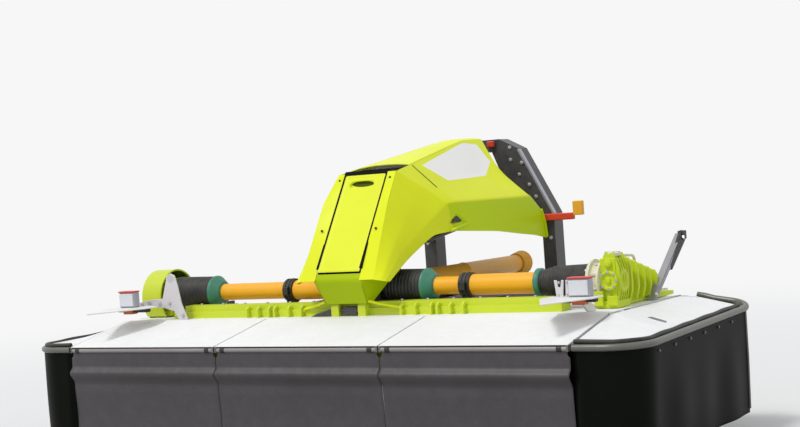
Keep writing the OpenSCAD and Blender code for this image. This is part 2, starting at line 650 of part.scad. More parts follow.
// Input shaft
input_r = 26;
gear_nose = 1050;
yoke_l = 110;
guard_end = overall_l - 60;
module input_shaft() color(anthracite) from_front() difference() {
    union() {
        rod_y(gear_nose, overall_l - yoke_l + 10, 0, shaft_z, input_r);
        rod_y(overall_l - yoke_l, overall_l, 0, shaft_z, 36);
    }
    rod_y(overall_l - spline_l, overall_l + 1, 0, shaft_z, spline_r);
}
module input_guard() color(yellow) from_front() difference() {
    union() {
        rod_y(gear_nose + 100, guard_end - 90, 0, shaft_z, thick_r);
        rod_y(gear_nose + 2, gear_nose + 101, 0, shaft_z, bell_r - 20);
        rod_y(guard_end - 91, guard_end, 0, shaft_z, bell_r - 20);
    }
    rod_y(gear_nose - 10, overall_l - yoke_l - 10, 0, shaft_z, input_r + run_gap);
    rod_y(overall_l - yoke_l - 11, guard_end + 1, 0, shaft_z, 36 + run_gap);
}

seam = 0.5;
flap_x = 142;
flap_low = 1018;
arm_x = 420;
// Hood, as stations from the nose's foot over the crest to the tail: ridge, shoulder, fold, lower edge
hood_grid = [
    [[243, 455, 969], [285, 470, 962], [300, 490, 955], [305, 530, 950]],
    [[230, 588, 1200], [280, 640, 1150], [300, 680, 1100], [305, 720, 1050]],
    [[220, 700, 1394], [290, 800, 1300], [335, 870, 1220], [360, 940, 1180]],
    [[195, 849, 1560], [300, 1000, 1440], [375, 1100, 1350], [385, 1130, 1190]],
    [[180, 1046, 1594], [300, 1110, 1455], [390, 1190, 1360], [400, 1220, 1185]],
    [[119, 1610, 1696], [280, 1500, 1490], [415, 1600, 1360], [425, 1620, 1160]],
    [[100, 1860, 1738], [262, 1800, 1510], [425, 1900, 1360], [435, 1920, 1125]],
    [[95, 2085, 1745], [250, 1986, 1548], [432, 2066, 1363], [440, 2107, 1106]],
    [[96, 2090, 1740], [252, 1992, 1545], [440, 2205, 1261], [440, 2250, 1080]]];
module hood_side(side) color(lime) from_front() mirrored(side) shell(hood_grid, [-hood_t, 0, 0]);
module hood_side_left() hood_side(1);
module hood_side_right() hood_side(-1);
module hood_top() color(lime) from_front()
    shell([for (i = [4 : 7]) let (p = hood_grid[i][0]) [[-p[0] + hood_t + seam, p[1], p[2]], [0, p[1],
        p[2] + 12],
        [p[0] - hood_t - seam, p[1], p[2]]]], [0, 0, -hood_t]);
base_back = 680;
base_rear = beam_y - beam_w / 2 - 5;
base_x = 140;
base_low = 831;
flap_swing = 14;
module hood_front() color(lime) from_front() {
    nose = hood_grid[0][0];
    nose_x = nose[0] - hood_t - seam;
    inner_x = flap_x + flap_gap;
    base_top_x = inner_x + 12;
    foot_y = base_y - hood_t - run_gap;
    for (s = [-1, 1]) mirrored(s) {
        shell([for (i = [0 : 3]) let (p = hood_grid[i][0]) [[inner_x, p[1] + 2, p[2]],
            [p[0] - hood_t - seam, p[1], p[2]]]], [0, hood_t, 0]);
        shell([[[base_top_x, nose[1] + 8, nose[2]], [nose_x, base_back, nose[2]]],
            [[base_x, foot_y, base_low], [base_x, base_rear, base_low]]], [-hood_t, 0, 0]);
    }
    shell([[[-base_top_x, nose[1] + 28, flap_low - flap_swing],
        [base_top_x, nose[1] + 28, flap_low - flap_swing]],
        [[-base_top_x, nose[1] + 8, nose[2]], [base_top_x, nose[1] + 8, nose[2]]],
        [[-base_x, foot_y, base_low], [base_x, foot_y, base_low]]], [0, hood_t, 0]);
}
flap_y = 474;
flap_h = 533;
flap_lean = 360;
flap_hinge_y = flap_y + 12;
flap_hinge_z = flap_low + 8;
module hood_flap() color(lime) from_front() {
    shell([[[-flap_x, flap_y, flap_low], [flap_x, flap_y, flap_low]],
        [[-flap_x, flap_y + flap_lean, flap_low + flap_h], [flap_x, flap_y + flap_lean,
            flap_low + flap_h]]],
        [0, hood_t, 0]);
    rod_x(-flap_x - flap_gap + run_gap, flap_x + flap_gap - run_gap, flap_hinge_y, flap_hinge_z, 5);
}

// Front covers and curtains
cover_end = deck_w / 2 - seam_gap;
cover_spans = [[seam_x + seam_gap / 2, cover_end], [-seam_x + seam_gap / 2, seam_x - seam_gap / 2],
    [-cover_end, -seam_x - seam_gap / 2]];
rail_pin_l = 24;
module front_cover(k) color(white) from_front() {
    x0 = cover_spans[k][0];
    x1 = cover_spans[k][1];
    lip = rail_y + rail_r + rail_clear;
    side_profile(x0, x1) polygon([[2, front_z], [cover_l, deck_top(cover_l)],
        [cover_l, deck_top(cover_l) - cover_t],
        [lip + 40, deck_top(lip + 40) - cover_t], [lip + 2, rail_z - rail_r], [lip, rail_z - rail_r],
        [lip, front_z - lip_t], [2, front_z - lip_t]]);
    for (x = [x0, x1 - ear_t]) {
        side_profile(x, x + ear_t) polygon([[rail_y - rail_r, front_z - 2], [lip + 1, front_z - 2],
            [lip + 1, rail_z - rail_r], [rail_y - rail_r, rail_z - rail_r]]);
    }
    rod_x(x0 + 1, x0 + ear_t + rail_pin_l, rail_y, rail_z, hinge_pin_r);
    rod_x(x1 - ear_t - rail_pin_l, x1 - 1, rail_y, rail_z, hinge_pin_r);
}
module front_curtain(k) color(rubber_grey) from_front() {
    x0 = cover_spans[k][0] + ear_t + 1;
    x1 = cover_spans[k][1] - ear_t - 1;
    difference() {
        union() {
            rod_x(x0, x1, rail_y, rail_z, rail_r);
            block([x0, x1], [rail_y - curtain_t / 2, rail_y + curtain_t / 2], [curtain_z, rail_z]);
        }
        for (x = [x0 - 1, x1 - rail_pin_l - 1])
            rod_x(x, x + rail_pin_l + 2, rail_y, rail_z, hinge_pin_r + run_gap);
    }
}
module front_cover_left() front_cover(0);
module front_cover_middle() front_cover(1);
module front_cover_right() front_cover(2);
module front_curtain_left() front_curtain(0);
module front_curtain_middle() front_curtain(1);
module front_curtain_right() front_curtain(2);

// Side covers: a bent tube, the cloth over it and the curtain under it
side_x = deck_w / 2 + side_reach;
side_x0 = deck_w / 2 + 2;
side_in = side_hinge_x + knuckle_r + 2;
side_y1 = deck_l + 40;
tube_z = front_z - tube_r;
function rise(y) = tube_z + tube_rise * max(0, y - tube_r - front_bend) / (side_y1 - tube_r - front_bend);
bend_steps = 6;
cloth_t = 6;
corner_cut = 50;
rear_tube_z = deck_top(deck_l - 20) - 2;
side_path = concat([[side_x0 + tube_r, tube_r, tube_z]],
    [for (k = [0 : bend_steps]) let (a = 90 * k / bend_steps, y = tube_r + front_bend * (1 - cos(a)))
        [side_x - front_bend * (1 - sin(a)), y, rise(y)]],
    [for (k = [0 : bend_steps]) let (a = 90 * k / bend_steps, y = side_y1 - rear_bend * (1 - sin(a)))
        [side_x - rear_bend * (1 - cos(a)), y, rise(y) + (rear_tube_z - rise(side_y1))
            * k / bend_steps * 0.4]],
    [[side_in + tube_r, side_y1, rear_tube_z]]);
module side_frame(side) color(steel) from_front() mirrored(side) {
    sweep(side_path, tube_r, 16, [0, 0, 1]);
    for (y = side_knuckles) {
        difference() {
            rod_y(y, y + knuckle_l, side_hinge_x, side_hinge_z, knuckle_r);
            rod_y(y - 1, y + knuckle_l + 1, side_hinge_x, side_hinge_z, hinge_pin_r + run_gap);
        }
        difference() {
            side_rib(y + 20, y + knuckle_l - 20);
            rod_y(y - 1, y + knuckle_l + 1, side_hinge_x, side_hinge_z, knuckle_r - 1);
        }
    }
}
// A rib from a hinge knuckle down to the outer tube, under the cloth
module side_rib(y0, y1) translate([0, y1, 0]) rotate([90, 0, 0]) linear_extrude(y1 - y0)
    polygon([[side_hinge_x, side_hinge_z - knuckle_r], [side_hinge_x, side_hinge_z - 2],
        [side_x, rise(y0) + 6], [side_x, rise(y0) - 14]]);
function bend_x(y) = y >= tube_r + front_bend ? side_x
    : side_x - front_bend + sqrt(front_bend * front_bend - pow(tube_r + front_bend - y, 2));
cloth_y = concat([for (k = [0 : 4]) tube_r + front_bend * (1 - cos(22.5 * k))],
    [cover_l - 20, cover_l + 10, 900, deck_l - 200, side_y1 - rear_bend, side_y1 - 3 * tube_r]);
module side_cover(side) color(white) from_front() mirrored(side) shell([
    for (y = cloth_y) let (
        x0 = y < cover_l ? side_x0 : side_in,
        x1 = y < side_y1 - rear_bend ? bend_x(y) : side_x - corner_cut,
        z1 = rise(y) + tube_r + cloth_t + 0.6,
        z0 = max(deck_top(min(y, deck_l - 20)) - 6, z1))
        [[x0, y, z0], [(x0 + x1) / 2, y, (z0 + z1) / 2 + 6], [x1, y, z1]]], [0, 0, -cloth_t]);
module side_curtain(side) color(dark) from_front() mirrored(side) intersection() {
    side_profile(side_x0, side_x + tube_r) polygon([[0, curtain_z], [0, tube_z - tube_r - run_gap],
        [tube_r + front_bend, tube_z - tube_r - run_gap], [side_y1, rise(side_y1) - tube_r - run_gap],
        [side_y1, curtain_z]]);
    translate([0, 0, curtain_z]) linear_extrude(front_z) {
        translate([side_x - curtain_t / 2, tube_r + front_bend])
            square([curtain_t, side_y1 - rear_bend - tube_r - front_bend]);
        translate([side_x0, tube_r - curtain_t / 2]) square([side_x - front_bend - side_x0, curtain_t]);
        translate([side_x - front_bend, tube_r + front_bend]) intersection() {
            difference() {
                circle(r = front_bend + curtain_t / 2, $fn = 96);
                circle(r = front_bend - curtain_t / 2, $fn = 96);
            }
            translate([0, -front_bend - curtain_t]) square(front_bend + curtain_t);
        }
    }
}
module side_frame_left() side_frame(1);
module side_frame_right() side_frame(-1);
module side_cover_left() side_cover(1);
module side_cover_right() side_cover(-1);
module side_curtain_left() side_curtain(1);
module side_curtain_right() side_curtain(-1);

// Float cylinders between the centre gearbox's lugs and the boom's rear pin
cyl_y0 = 985;
cyl_z0 = 1100;
cyl_y1 = head_y - 60;
cyl_z1 = boom_low - 40;
cyl_pin_r = 14;
eye_half = 12;
cyl_x = boom_x - boom_t / 2 - eye_half - run_gap;
module float_cylinders() color(dark) from_front() for (s = [-1, 1]) mirrored(s) {
    run = norm([cyl_y1 - cyl_y0, cyl_z1 - cyl_z0]);
    tilt = atan2(cyl_z1 - cyl_z0, cyl_y1 - cyl_y0);
    translate([cyl_x, cyl_y0, cyl_z0]) rotate([tilt, 0, 0]) difference() {
        union() {
            rod_y(20, run * 0.55, 0, 0, 22);
            rod_y(run * 0.55 - 1, run - 20, 0, 0, 11);
            for (y = [0, run]) rod_x(-eye_half, eye_half, y, 0, 26);
        }
        for (y = [0, run]) rod_x(-20, 20, y, 0, cyl_pin_r + run_gap);
    }
}
hose_r = 9;
hose_x = boom_x + boom_t / 2 + hose_r;
hose_paths = [for (k = [0, 1]) [[hose_x, beam_y + 60, 1070 + 24 * k],
    [hose_x, beam_y + 330, boom_low - 55 + 22 * k],
    [hose_x, beam_y + 520, boom_low + 6 + 18 * k], [hose_x, head_y - 1, boom_low + 6 + 18 * k]]];
module hoses() color(dark) from_front() for (s = [-1, 1]) mirrored(s) for (path = hose_paths)
    sweep(path, hose_r - run_gap, 10, [1, 0, 0]);

cutterbar();
skid_shoes();
disc_1();
disc_2();
disc_3();
disc_4();
disc_5();
disc_6();
disc_7();
disc_8();
rotor();
side_plates();
conditioner_hood();
deck_cover();
main_beam();
gearbox_centre();
gearbox_left();
gearbox_right();
shaft_tubes();
shaft_guards();
shaft_clamps();
drum_guard();
lamps();
fold_struts();
boom();
lower_arms();
hood_side_left();
hood_side_right();
hood_top();
hood_front();
hood_flap();
headstock();
lever();
stand_left();
stand_right();
input_shaft();
input_guard();
front_cover_left();
front_cover_middle();
front_cover_right();
front_curtain_left();
front_curtain_middle();
front_curtain_right();
side_frame_left();
side_frame_right();
side_cover_left();
side_cover_right();
side_curtain_left();
side_curtain_right();
float_cylinders();
hoses();
swath_board_left();
swath_board_right();
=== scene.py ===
import bpy
import bmesh
import numpy as np
from mathutils import Matrix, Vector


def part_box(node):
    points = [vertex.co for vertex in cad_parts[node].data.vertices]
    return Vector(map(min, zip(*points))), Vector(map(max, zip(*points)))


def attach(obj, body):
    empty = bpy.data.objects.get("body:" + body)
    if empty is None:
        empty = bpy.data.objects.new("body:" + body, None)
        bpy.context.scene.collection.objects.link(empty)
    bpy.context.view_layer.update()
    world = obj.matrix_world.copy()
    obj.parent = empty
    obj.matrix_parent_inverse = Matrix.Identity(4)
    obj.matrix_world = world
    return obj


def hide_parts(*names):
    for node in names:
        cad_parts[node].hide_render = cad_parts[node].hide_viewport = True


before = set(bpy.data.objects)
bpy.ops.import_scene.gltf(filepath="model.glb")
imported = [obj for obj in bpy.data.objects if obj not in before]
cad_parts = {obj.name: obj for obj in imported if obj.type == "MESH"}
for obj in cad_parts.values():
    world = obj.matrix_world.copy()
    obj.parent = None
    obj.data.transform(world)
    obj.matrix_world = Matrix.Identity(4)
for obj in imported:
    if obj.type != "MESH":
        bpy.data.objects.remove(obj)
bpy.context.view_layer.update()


# Camera: a low three-quarter view from the machine's left front corner, at the
# photograph's height and lens.
def placed(name, data):
    """A new object with that data, linked to the scene."""
    made = bpy.data.objects.new(name, data)
    scene.collection.objects.link(made)
    return made


scene = bpy.context.scene
deck_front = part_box("front_cover_middle")[0].y
eye = np.array([4.604, deck_front - 6.338, 1.424])
azimuth, pitch, roll = np.radians([31.482, 0.746, -3.918])
forward = np.array([-np.sin(azimuth) * np.cos(pitch), np.cos(azimuth) * np.cos(pitch), -np.sin(pitch)])
level = np.array([np.cos(azimuth), np.sin(azimuth), 0])
upright = np.cross(level, forward)
camera_data = bpy.data.cameras.new("camera")
camera_data.sensor_width = 36
camera_data.lens = 66.446
camera = placed("camera", camera_data)
turn = np.eye(4)
turn[:3, 0] = level * np.cos(roll) + upright * np.sin(roll)
turn[:3, 1] = upright * np.cos(roll) - level * np.sin(roll)
turn[:3, 2:] = np.stack([-forward, eye], 1)
camera.matrix_world = Matrix(turn.tolist())
scene.camera = camera
scene.view_settings.view_transform = "Standard"


# Floor: a wide pale disc that fades to the white of the background far from the machine.
# Light: a bright even sky and one soft high lamp from the front left.
def nodes_of(tree):
    """Clears a node tree and returns its maker: it adds a node, and sets or joins its inputs.
    A node given as an input stands for its first output."""
    tree.nodes.clear()

    def add(kind, inputs=(), **settings):
        node = tree.nodes.new(kind if kind.startswith("NodeGroup") else "ShaderNode" + kind)
        for key, value in settings.items():
            setattr(node, key, value)
        for key, value in dict(inputs).items():
            if isinstance(value, bpy.types.Node):
                value = value.outputs[0]
            if isinstance(value, bpy.types.NodeSocket):
                tree.links.new(value, node.inputs[key])
            else:
                node.inputs[key].default_value = value
        return node

    return add


def new_material(name):
    """A material with an empty node tree, and its node maker."""
    mat = bpy.data.materials.new(name)
    mat.use_nodes = True
    return mat, nodes_of(mat.node_tree)


def maths(add, operation, *values):
    """A maths node over its values, in order."""
    return add("Math", dict(enumerate(values)), operation=operation)


def ramp(add, value, low, high, to_low=0, to_high=1, **settings):
    """A value's place between low and high, held at both and spread from to_low to to_high."""
    limits = {"From Min": low, "From Max": high, "To Min": to_low, "To Max": to_high}
    return add("MapRange", {"Value": value, **limits}, **settings)


def blend(add, share, first, second):
    """A colour between two, by a share from 0 to 1."""
    return add("Mix", {0: share, 6: first, 7: second}, data_type="RGBA").outputs[2]


def rgba(colour):
    """sRGB values from 0 to 255 as a linear colour: ((c / 255 + 0.055) / 1.055) to the power 2.4."""
    c = np.asarray(colour, float) / 255
    linear = np.where(c <= 0.04045, c / 12.92, ((c + 0.055) / 1.055) ** 2.4)
    return (*linear.tolist(), 1)


def joined(*coordinates):
    """Points from their coordinates: each is an array, or one number for all of them."""
    return np.stack(np.broadcast_arrays(*coordinates), -1)


backdrop = (0.93, 0.93, 0.935, 1)
floor_radius, floor_sides, floor_z = 60, 96, -0.001
ring = np.linspace(0, 2 * np.pi, floor_sides, endpoint=False)
floor_rim = joined(floor_radius * np.cos(ring), floor_radius * np.sin(ring), floor_z)
floor_mesh = bpy.data.meshes.new("floor")
floor_mesh.from_pydata(floor_rim.tolist(), [], [list(range(floor_sides))])
floor = placed("floor", floor_mesh)
floor_mat, add = new_material("pale_floor")
away = add("VectorMath", {0: add("TexCoord").outputs["Object"]}, operation="LENGTH")
fade = ramp(add, away.outputs["Value"], 3.5, 12, interpolation_type="SMOOTHSTEP")
seen = add("LightPath").outputs
seen_any = maths(add, "MAXIMUM", seen["Is Camera Ray"], seen["Is Glossy Ray"])
grey = blend(add, seen_any, (0.42, 0.43, 0.40, 1), (0.80, 0.80, 0.80, 1))
matt = add("BsdfDiffuse", {"Color": grey})
white_glow = add("Emission", {"Color": backdrop, "Strength": 1})
mixed = add("MixShader", {0: maths(add, "MULTIPLY", fade, seen_any), 1: matt, 2: white_glow})
add("OutputMaterial", {"Surface": mixed})
floor_mesh.materials.append(floor_mat)

world = bpy.data.worlds.new("sky")
world.use_nodes = True
scene.world = world
add = nodes_of(world.node_tree)
seen = add("LightPath").outputs
seen_two = maths(add, "MAXIMUM", seen["Is Camera Ray"], seen["Is Transmission Ray"])
seen_any = maths(add, "MAXIMUM", seen_two, seen["Is Glossy Ray"])
light = add("Background", {"Color": (0.93, 0.96, 1, 1), "Strength": 0.66})
back = add("Background", {"Color": backdrop, "Strength": 1})
add("OutputWorld", {"Surface": add("MixShader", {0: seen_any, 1: light, 2: back})})
sun_data = bpy.data.lights.new("high_lamp", "SUN")
sun_data.energy = 1.55
sun_data.angle = np.radians(14)
sun_data.color = (1, 0.98, 0.94)
placed("high_lamp", sun_data).rotation_euler = np.radians([32, -6, -14]).tolist()

# Cutterbar, skids and gearcase lugs: a welded steel bed under the discs, in dark satin
# paint with grass dust, on bare skids that the ground has polished. The node group is the
# field's dust: a slow change of tone, and pale dust on faces turned upwards.
dust_pale = (176, 168, 140)
dust_group = bpy.data.node_groups.new("field_dust", "ShaderNodeTree")
for label, value in (("Colour", (0.5, 0.5, 0.5, 1)), ("Dust Colour", rgba(dust_pale)), ("Dust", 0.25),
        ("Tone", 0.08), ("Roughness", 0.4), ("Grain", 0.3)):
    kind = "NodeSocketColor" if "Colour" in label else "NodeSocketFloat"
    dust_group.interface.new_socket(label, in_out="INPUT", socket_type=kind).default_value = value
for label, kind in (("Colour", "NodeSocketColor"), ("Roughness", "NodeSocketFloat"),
        ("Height", "NodeSocketFloat")):
    dust_group.interface.new_socket(label, in_out="OUTPUT", socket_type=kind)
add = nodes_of(dust_group)
given = add("NodeGroupInput").outputs
place = add("TexCoord").outputs["Object"]
slow = add("TexNoise", {"Vector": place, "Scale": 3.1, "Detail": 3})
fine = add("TexNoise", {"Vector": place, "Scale": 240, "Detail": 2})
spots = add("TexNoise", {"Vector": place, "Scale": 17, "Detail": 6, "Roughness": 0.7})
shift = maths(add, "MULTIPLY", ramp(add, slow, 0.25, 0.75, -1), given["Tone"])
toned = add("HueSaturation", {"Color": given["Colour"], "Value": maths(add, "ADD", shift, 1)})
facing = add("SeparateXYZ", {0: add("NewGeometry").outputs["Normal"]})
upward = ramp(add, facing.outputs["Z"], -0.1, 1, 0.25)
lie = maths(add, "MULTIPLY", upward, ramp(add, spots, 0.38, 0.72))
amount = maths(add, "MULTIPLY", lie, given["Dust"])
rough = maths(add, "ADD", ramp(add, amount, 0, 0.5, 0, 0.35), given["Roughness"])
rough = maths(add, "ADD", rough, maths(add, "MULTIPLY", fine, 0.06))
add("NodeGroupOutput", {"Colour": blend(add, amount, toned, given["Dust Colour"]), "Roughness": rough,
                        "Height": maths(add, "MULTIPLY", fine, given["Grain"])})


def finish(name, slot, colour, roughness=0.4, dust=0.2, tone=0.07, grain=0.3, bump=0.0006,
        dust_colour=dust_pale, metallic=0, specular=0.5, extra=None):
    """A material; its slot argument is not used. The field dust group feeds a Principled BSDF.
    The numbers after the colour are its roughness, its share of dust and its change of tone. extra may
    add nodes: it gets the node maker, the colour and the height, and returns both anew."""
    mat, add = new_material(name)
    dusty = add("Group", {"Colour": rgba(colour), "Dust": dust, "Tone": tone, "Roughness": roughness,
                          "Grain": grain, "Dust Colour": rgba(dust_colour)}, node_tree=dust_group).outputs
    paint, height = dusty["Colour"], dusty["Height"]
    if extra:
        paint, height = extra(add, paint, height)
    raised = add("Bump", {"Height": height, "Distance": bump, "Strength": 0.6})
    shader = add("BsdfPrincipled", {"Base Color": paint, "Roughness": dusty["Roughness"], "Normal": raised,
                                    "Metallic": metallic, "Specular IOR Level": specular})
    add("OutputMaterial", {"Surface": shader})
    return mat


def dress(mat, *names):
    """Puts the material on every slot of those CAD nodes, which stay."""
    for name in names:
        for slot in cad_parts[name].material_slots:
            slot.material = mat


def piece(name, parts, mat, body="frame", replaces=None, ease=0, smooth=32, segments=2):
    """One object from parts, each (points, faces) in metres. Doubles are merged, the closed shells are
    turned outwards, edges over the smooth angle stay sharp, and ease is the radius of a bevel."""
    points, faces, start = [], [], 0
    for part_points, part_faces in parts:
        points.append(np.asarray(part_points, float).reshape(-1, 3))
        faces += [[index + start for index in face] for face in part_faces]
        start += len(points[-1])
    mesh = bpy.data.meshes.new(name)
    mesh.from_pydata(np.concatenate(points).tolist(), [], faces)
    work = bmesh.new()
    work.from_mesh(mesh)
    bmesh.ops.remove_doubles(work, verts=work.verts, dist=1e-5)
    bmesh.ops.recalc_face_normals(work, faces=work.faces)
    work.to_mesh(mesh)
    work.free()
    mesh.polygons.foreach_set("use_smooth", np.ones(len(mesh.polygons), bool))
    mesh.set_sharp_from_angle(angle=np.radians(smooth))
    mesh.materials.append(mat)
    made = placed(name, mesh)
    if ease:
        bevel = made.modifiers.new("eased_edges", "BEVEL")
        bevel.width = ease
        bevel.segments = segments
        bevel.limit_method = "ANGLE"
        bevel.angle_limit = np.radians(smooth)
        bevel.harden_normals = True
    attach(made, body)
    if replaces:
        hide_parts(replaces)
    return made


def eased(node, mat, ease=0.003, body="frame"):
    """A CAD node's own shape with its edges rounded: a copy of its mesh, merged, with flat faces joined."""
    work = bmesh.new()
    work.from_mesh(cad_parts[node].data)
    bmesh.ops.remove_doubles(work, verts=work.verts, dist=2e-5)
    bmesh.ops.dissolve_limit(work, angle_limit=np.radians(0.5), verts=work.verts, edges=work.edges)
    points = [list(v.co) for v in work.verts]
    faces = [[v.index for v in face.verts] for face in work.faces]
    work.free()
    piece(node + "_shape", [(points, faces)], mat, body, node, ease)


def mm(points):
    """Points in millimetres, counted from the deck's front edge, as metres in the frame."""
    return np.asarray(points, float) * 0.001 + np.array([0, deck_front, 0])


def cells(rows, columns, closed=False):
    """Faces of a grid of points, rows by columns: cell (i, j) joins (i, j), (i, j+1), (i+1, j+1) and
    (i+1, j). In a closed grid the last column meets the first."""
    i, j = np.meshgrid(np.arange(rows - 1), np.arange(columns if closed else columns - 1), indexing="ij")
    beside = (j + 1) % columns
    corners = [i * columns + j, i * columns + beside, (i + 1) * columns + beside, (i + 1) * columns + j]
    return np.stack(corners, -1).reshape(-1, 4).tolist()


def through(rings):
    """A closed solid through rings of points in millimetres, with flat ends."""
    rows, columns = rings.shape[:2]
    last = (rows - 1) * columns
    ends = [list(range(columns))[::-1], list(range(last, last + columns))]
    return mm(rings.reshape(-1, 3)), cells(rows, columns, True) + ends


def spun(profile, centre, axis, sides=36):
    """A turned shape in millimetres: profile rows are (distance along the axis from the centre, radius).
    Point (i, j) = centre + s_i axis + r_i (cos a_j u + sin a_j v). The axis is a direction, or 0, 1 or 2."""
    profile = np.asarray(profile, float)
    axis = np.eye(3)[axis] if isinstance(axis, int) else np.asarray(axis, float)
    axis = axis / np.linalg.norm(axis)
    u = np.cross(axis, [0, 0, 1] if abs(axis[2]) < 0.9 else [1, 0, 0])
    u /= np.linalg.norm(u)
    v = np.cross(axis, u)
    turn = np.linspace(0, 2 * np.pi, sides, endpoint=False)
    spokes = np.cos(turn)[:, None] * u + np.sin(turn)[:, None] * v
    return through(np.asarray(centre, float) + profile[:, 0, None, None] * axis + profile[:, 1, None, None]
        * spokes)


def bolts(places, direction, size=18, height=9):
    """Hexagon heads on their washers at places in millimetres, all facing one direction."""
    parts = []
    for spot in places:
        parts.append(spun([[-1, size * 0.62], [2, size * 0.62]], spot, direction, 14))
        parts.append(spun([[0, size * 0.5], [height, size * 0.5], [height + 1, size * 0.42]], spot, direction,
            6))
    return parts


dark_paint = finish("anthracite_paint", "anthracite_paint", (62, 61, 65), 0.42, 0.30, 0.12)
bare_steel = finish("zinc_steel", "zinc_steel", (205, 203, 206), 0.34, 0.15, 0.10, metallic=0.75)
eased("cutterbar", dark_paint, 0.004)
dress(bare_steel, "skid_shoes")

# Mowing discs: pressed steel ovals with a domed hub cover and two swinging knives,
# each held by a bolt near the tip of the disc.
disc_dark = finish("disc_enamel", "anthracite_paint", (70, 68, 70), 0.38, 0.35, 0.15)
knife_bright = finish("knife_steel", "zinc_steel", (190, 188, 186), 0.30, tone=0.15, metallic=0.85)
disc_count, disc_pitch, disc_y, knife_seat, seat_down = 8, 410, 540, 150, 25
for number in range(1, disc_count + 1):
    name = f"disc_{number}"
    eased(name, disc_dark, 0.002, name)
    top = np.array([(number - (disc_count + 1) / 2) * disc_pitch, disc_y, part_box(name)[1].z * 1000])
    reach = np.array([knife_seat, 0, 0] if number % 2 == 0 else [0, knife_seat, 0])
    hub = [spun([[-2, 48], [3, 48], [9, 40], [12, 26], [13, 12]], top, 2, 40)]
    hub += bolts([top - reach - [0, 0, seat_down], top + reach - [0, 0, seat_down]], [0, 0, 1], 26, 12)
    piece(name + "_hub_and_bolts", hub, knife_bright, name)


# Conditioner: a tube with V-shaped tines, between lime side plates and under a curved sheet
# that throws the crop over. Its tubes and sheets are welded and painted.
def ring_of_bolts(centre, index, sign, radius, count, size, height=8):
    """Bolts on a circle round a point, all facing along one axis (0, 1 or 2, with its sign)."""
    first, second = [k for k in range(3) if k != index]
    turn = np.arange(count) * 2 * np.pi / count
    places = np.tile(np.asarray(centre, float), (count, 1))
    places[:, first] += radius * np.cos(turn)
    places[:, second] += radius * np.sin(turn)
    return bolts(places, sign * np.eye(3)[index], size, height)


lime_paint = finish("lime_paint", "lime_paint", (206, 222, 40), 0.36, 0.16, 0.05)
dress(lime_paint, "rotor", "conditioner_hood")
eased("side_plates", lime_paint)
sides = ((1, "left"), (-1, "right"))
for side, word in sides:
    eased(f"swath_board_{word}", lime_paint, 0.002, f"swath_board_{word}")
bearing_x, rotor_y, rotor_z, bearing_r = 1540, 1040, 430, 55
bearing = []
for side in (-1, 1):
    bearing += ring_of_bolts([side * bearing_x, rotor_y, rotor_z], 0, side, bearing_r, 6, 20, 9)
piece("rotor_bearing_bolts", bearing, bare_steel)


# Deck and front covers: a welded tray and three sloping sections, skinned in white coated
# cloth that is pulled tight over the frame.
def woven(add, paint, height):
    """A plain weave under the coating: two crossed fine waves, and slow ripples where it is pulled."""
    place = add("TexCoord").outputs["Object"]
    waves = [add("TexWave", {"Vector": place, "Scale": 190}, bands_direction=way).outputs["Fac"]
        for way in "XY"]
    ripple = add("TexNoise", {"Vector": place, "Scale": 5, "Detail": 2})
    weave = maths(add, "MULTIPLY", maths(add, "MULTIPLY", *waves), 0.12)
    return paint, maths(add, "ADD", maths(add, "MULTIPLY", ripple, 6), weave)


def edge_profile(add, paint, height):
    """The woven cloth, and below its folded front edge the bare grey profile of the frame."""
    paint, height = woven(add, paint, height)
    place = add("SeparateXYZ", {0: add("TexCoord").outputs["Object"]}).outputs
    edge_y, edge_z = deck_front + 0.045, 0.658
    low = ramp(add, place["Z"], edge_z + 0.0005, edge_z - 0.0005)
    near = ramp(add, place["Y"], edge_y + 0.001, edge_y - 0.001)
    return blend(add, maths(add, "MULTIPLY", low, near), paint, rgba((118, 115, 117))), height


white_cloth, cover_cloth = [finish(name, "white_cloth", (244, 244, 246), 0.5, 0.10, 0.02, bump=0.0012,
    extra=extra) for name, extra in (("white_cloth", woven), ("front_cover_cloth", edge_profile))]
eased("deck_cover", white_cloth)
front_words = ("left", "middle", "right")
for word in front_words:
    eased(f"front_cover_{word}", cover_cloth)


# Front curtains: each hangs from a painted tube that turns in the covers' ears. The cloth is
# rubber on both sides, stiff, and keeps a long roll across its width where it was folded.
def ease_step(t):
    """Smooth step from 0 to 1: 3 t squared less 2 t cubed, with t held between 0 and 1."""
    t = np.clip(t, 0, 1)
    return t * t * (3 - 2 * t)


def cloth_sheet(name, points, mat, body, node, thickness):
    """A sheet of cloth over a grid of points in millimetres, given its thickness by Solidify."""
    points = mm(points)
    made = piece(name, [(points, cells(*points.shape[:2]))], mat, body, node, smooth=60)
    thick = made.modifiers.new("cloth_thickness", "SOLIDIFY")
    thick.thickness = thickness
    thick.offset = 0


def along_rail(x0, x1, radius):
    """A turned sleeve on the curtain's tube between two places along it."""
    span = x1 - x0
    profile = [[0, radius - 1], [1, radius], [span - 1, radius], [span, radius - 1]]
    return spun(profile, [x0, rail_r, rail_z], 0, 28)


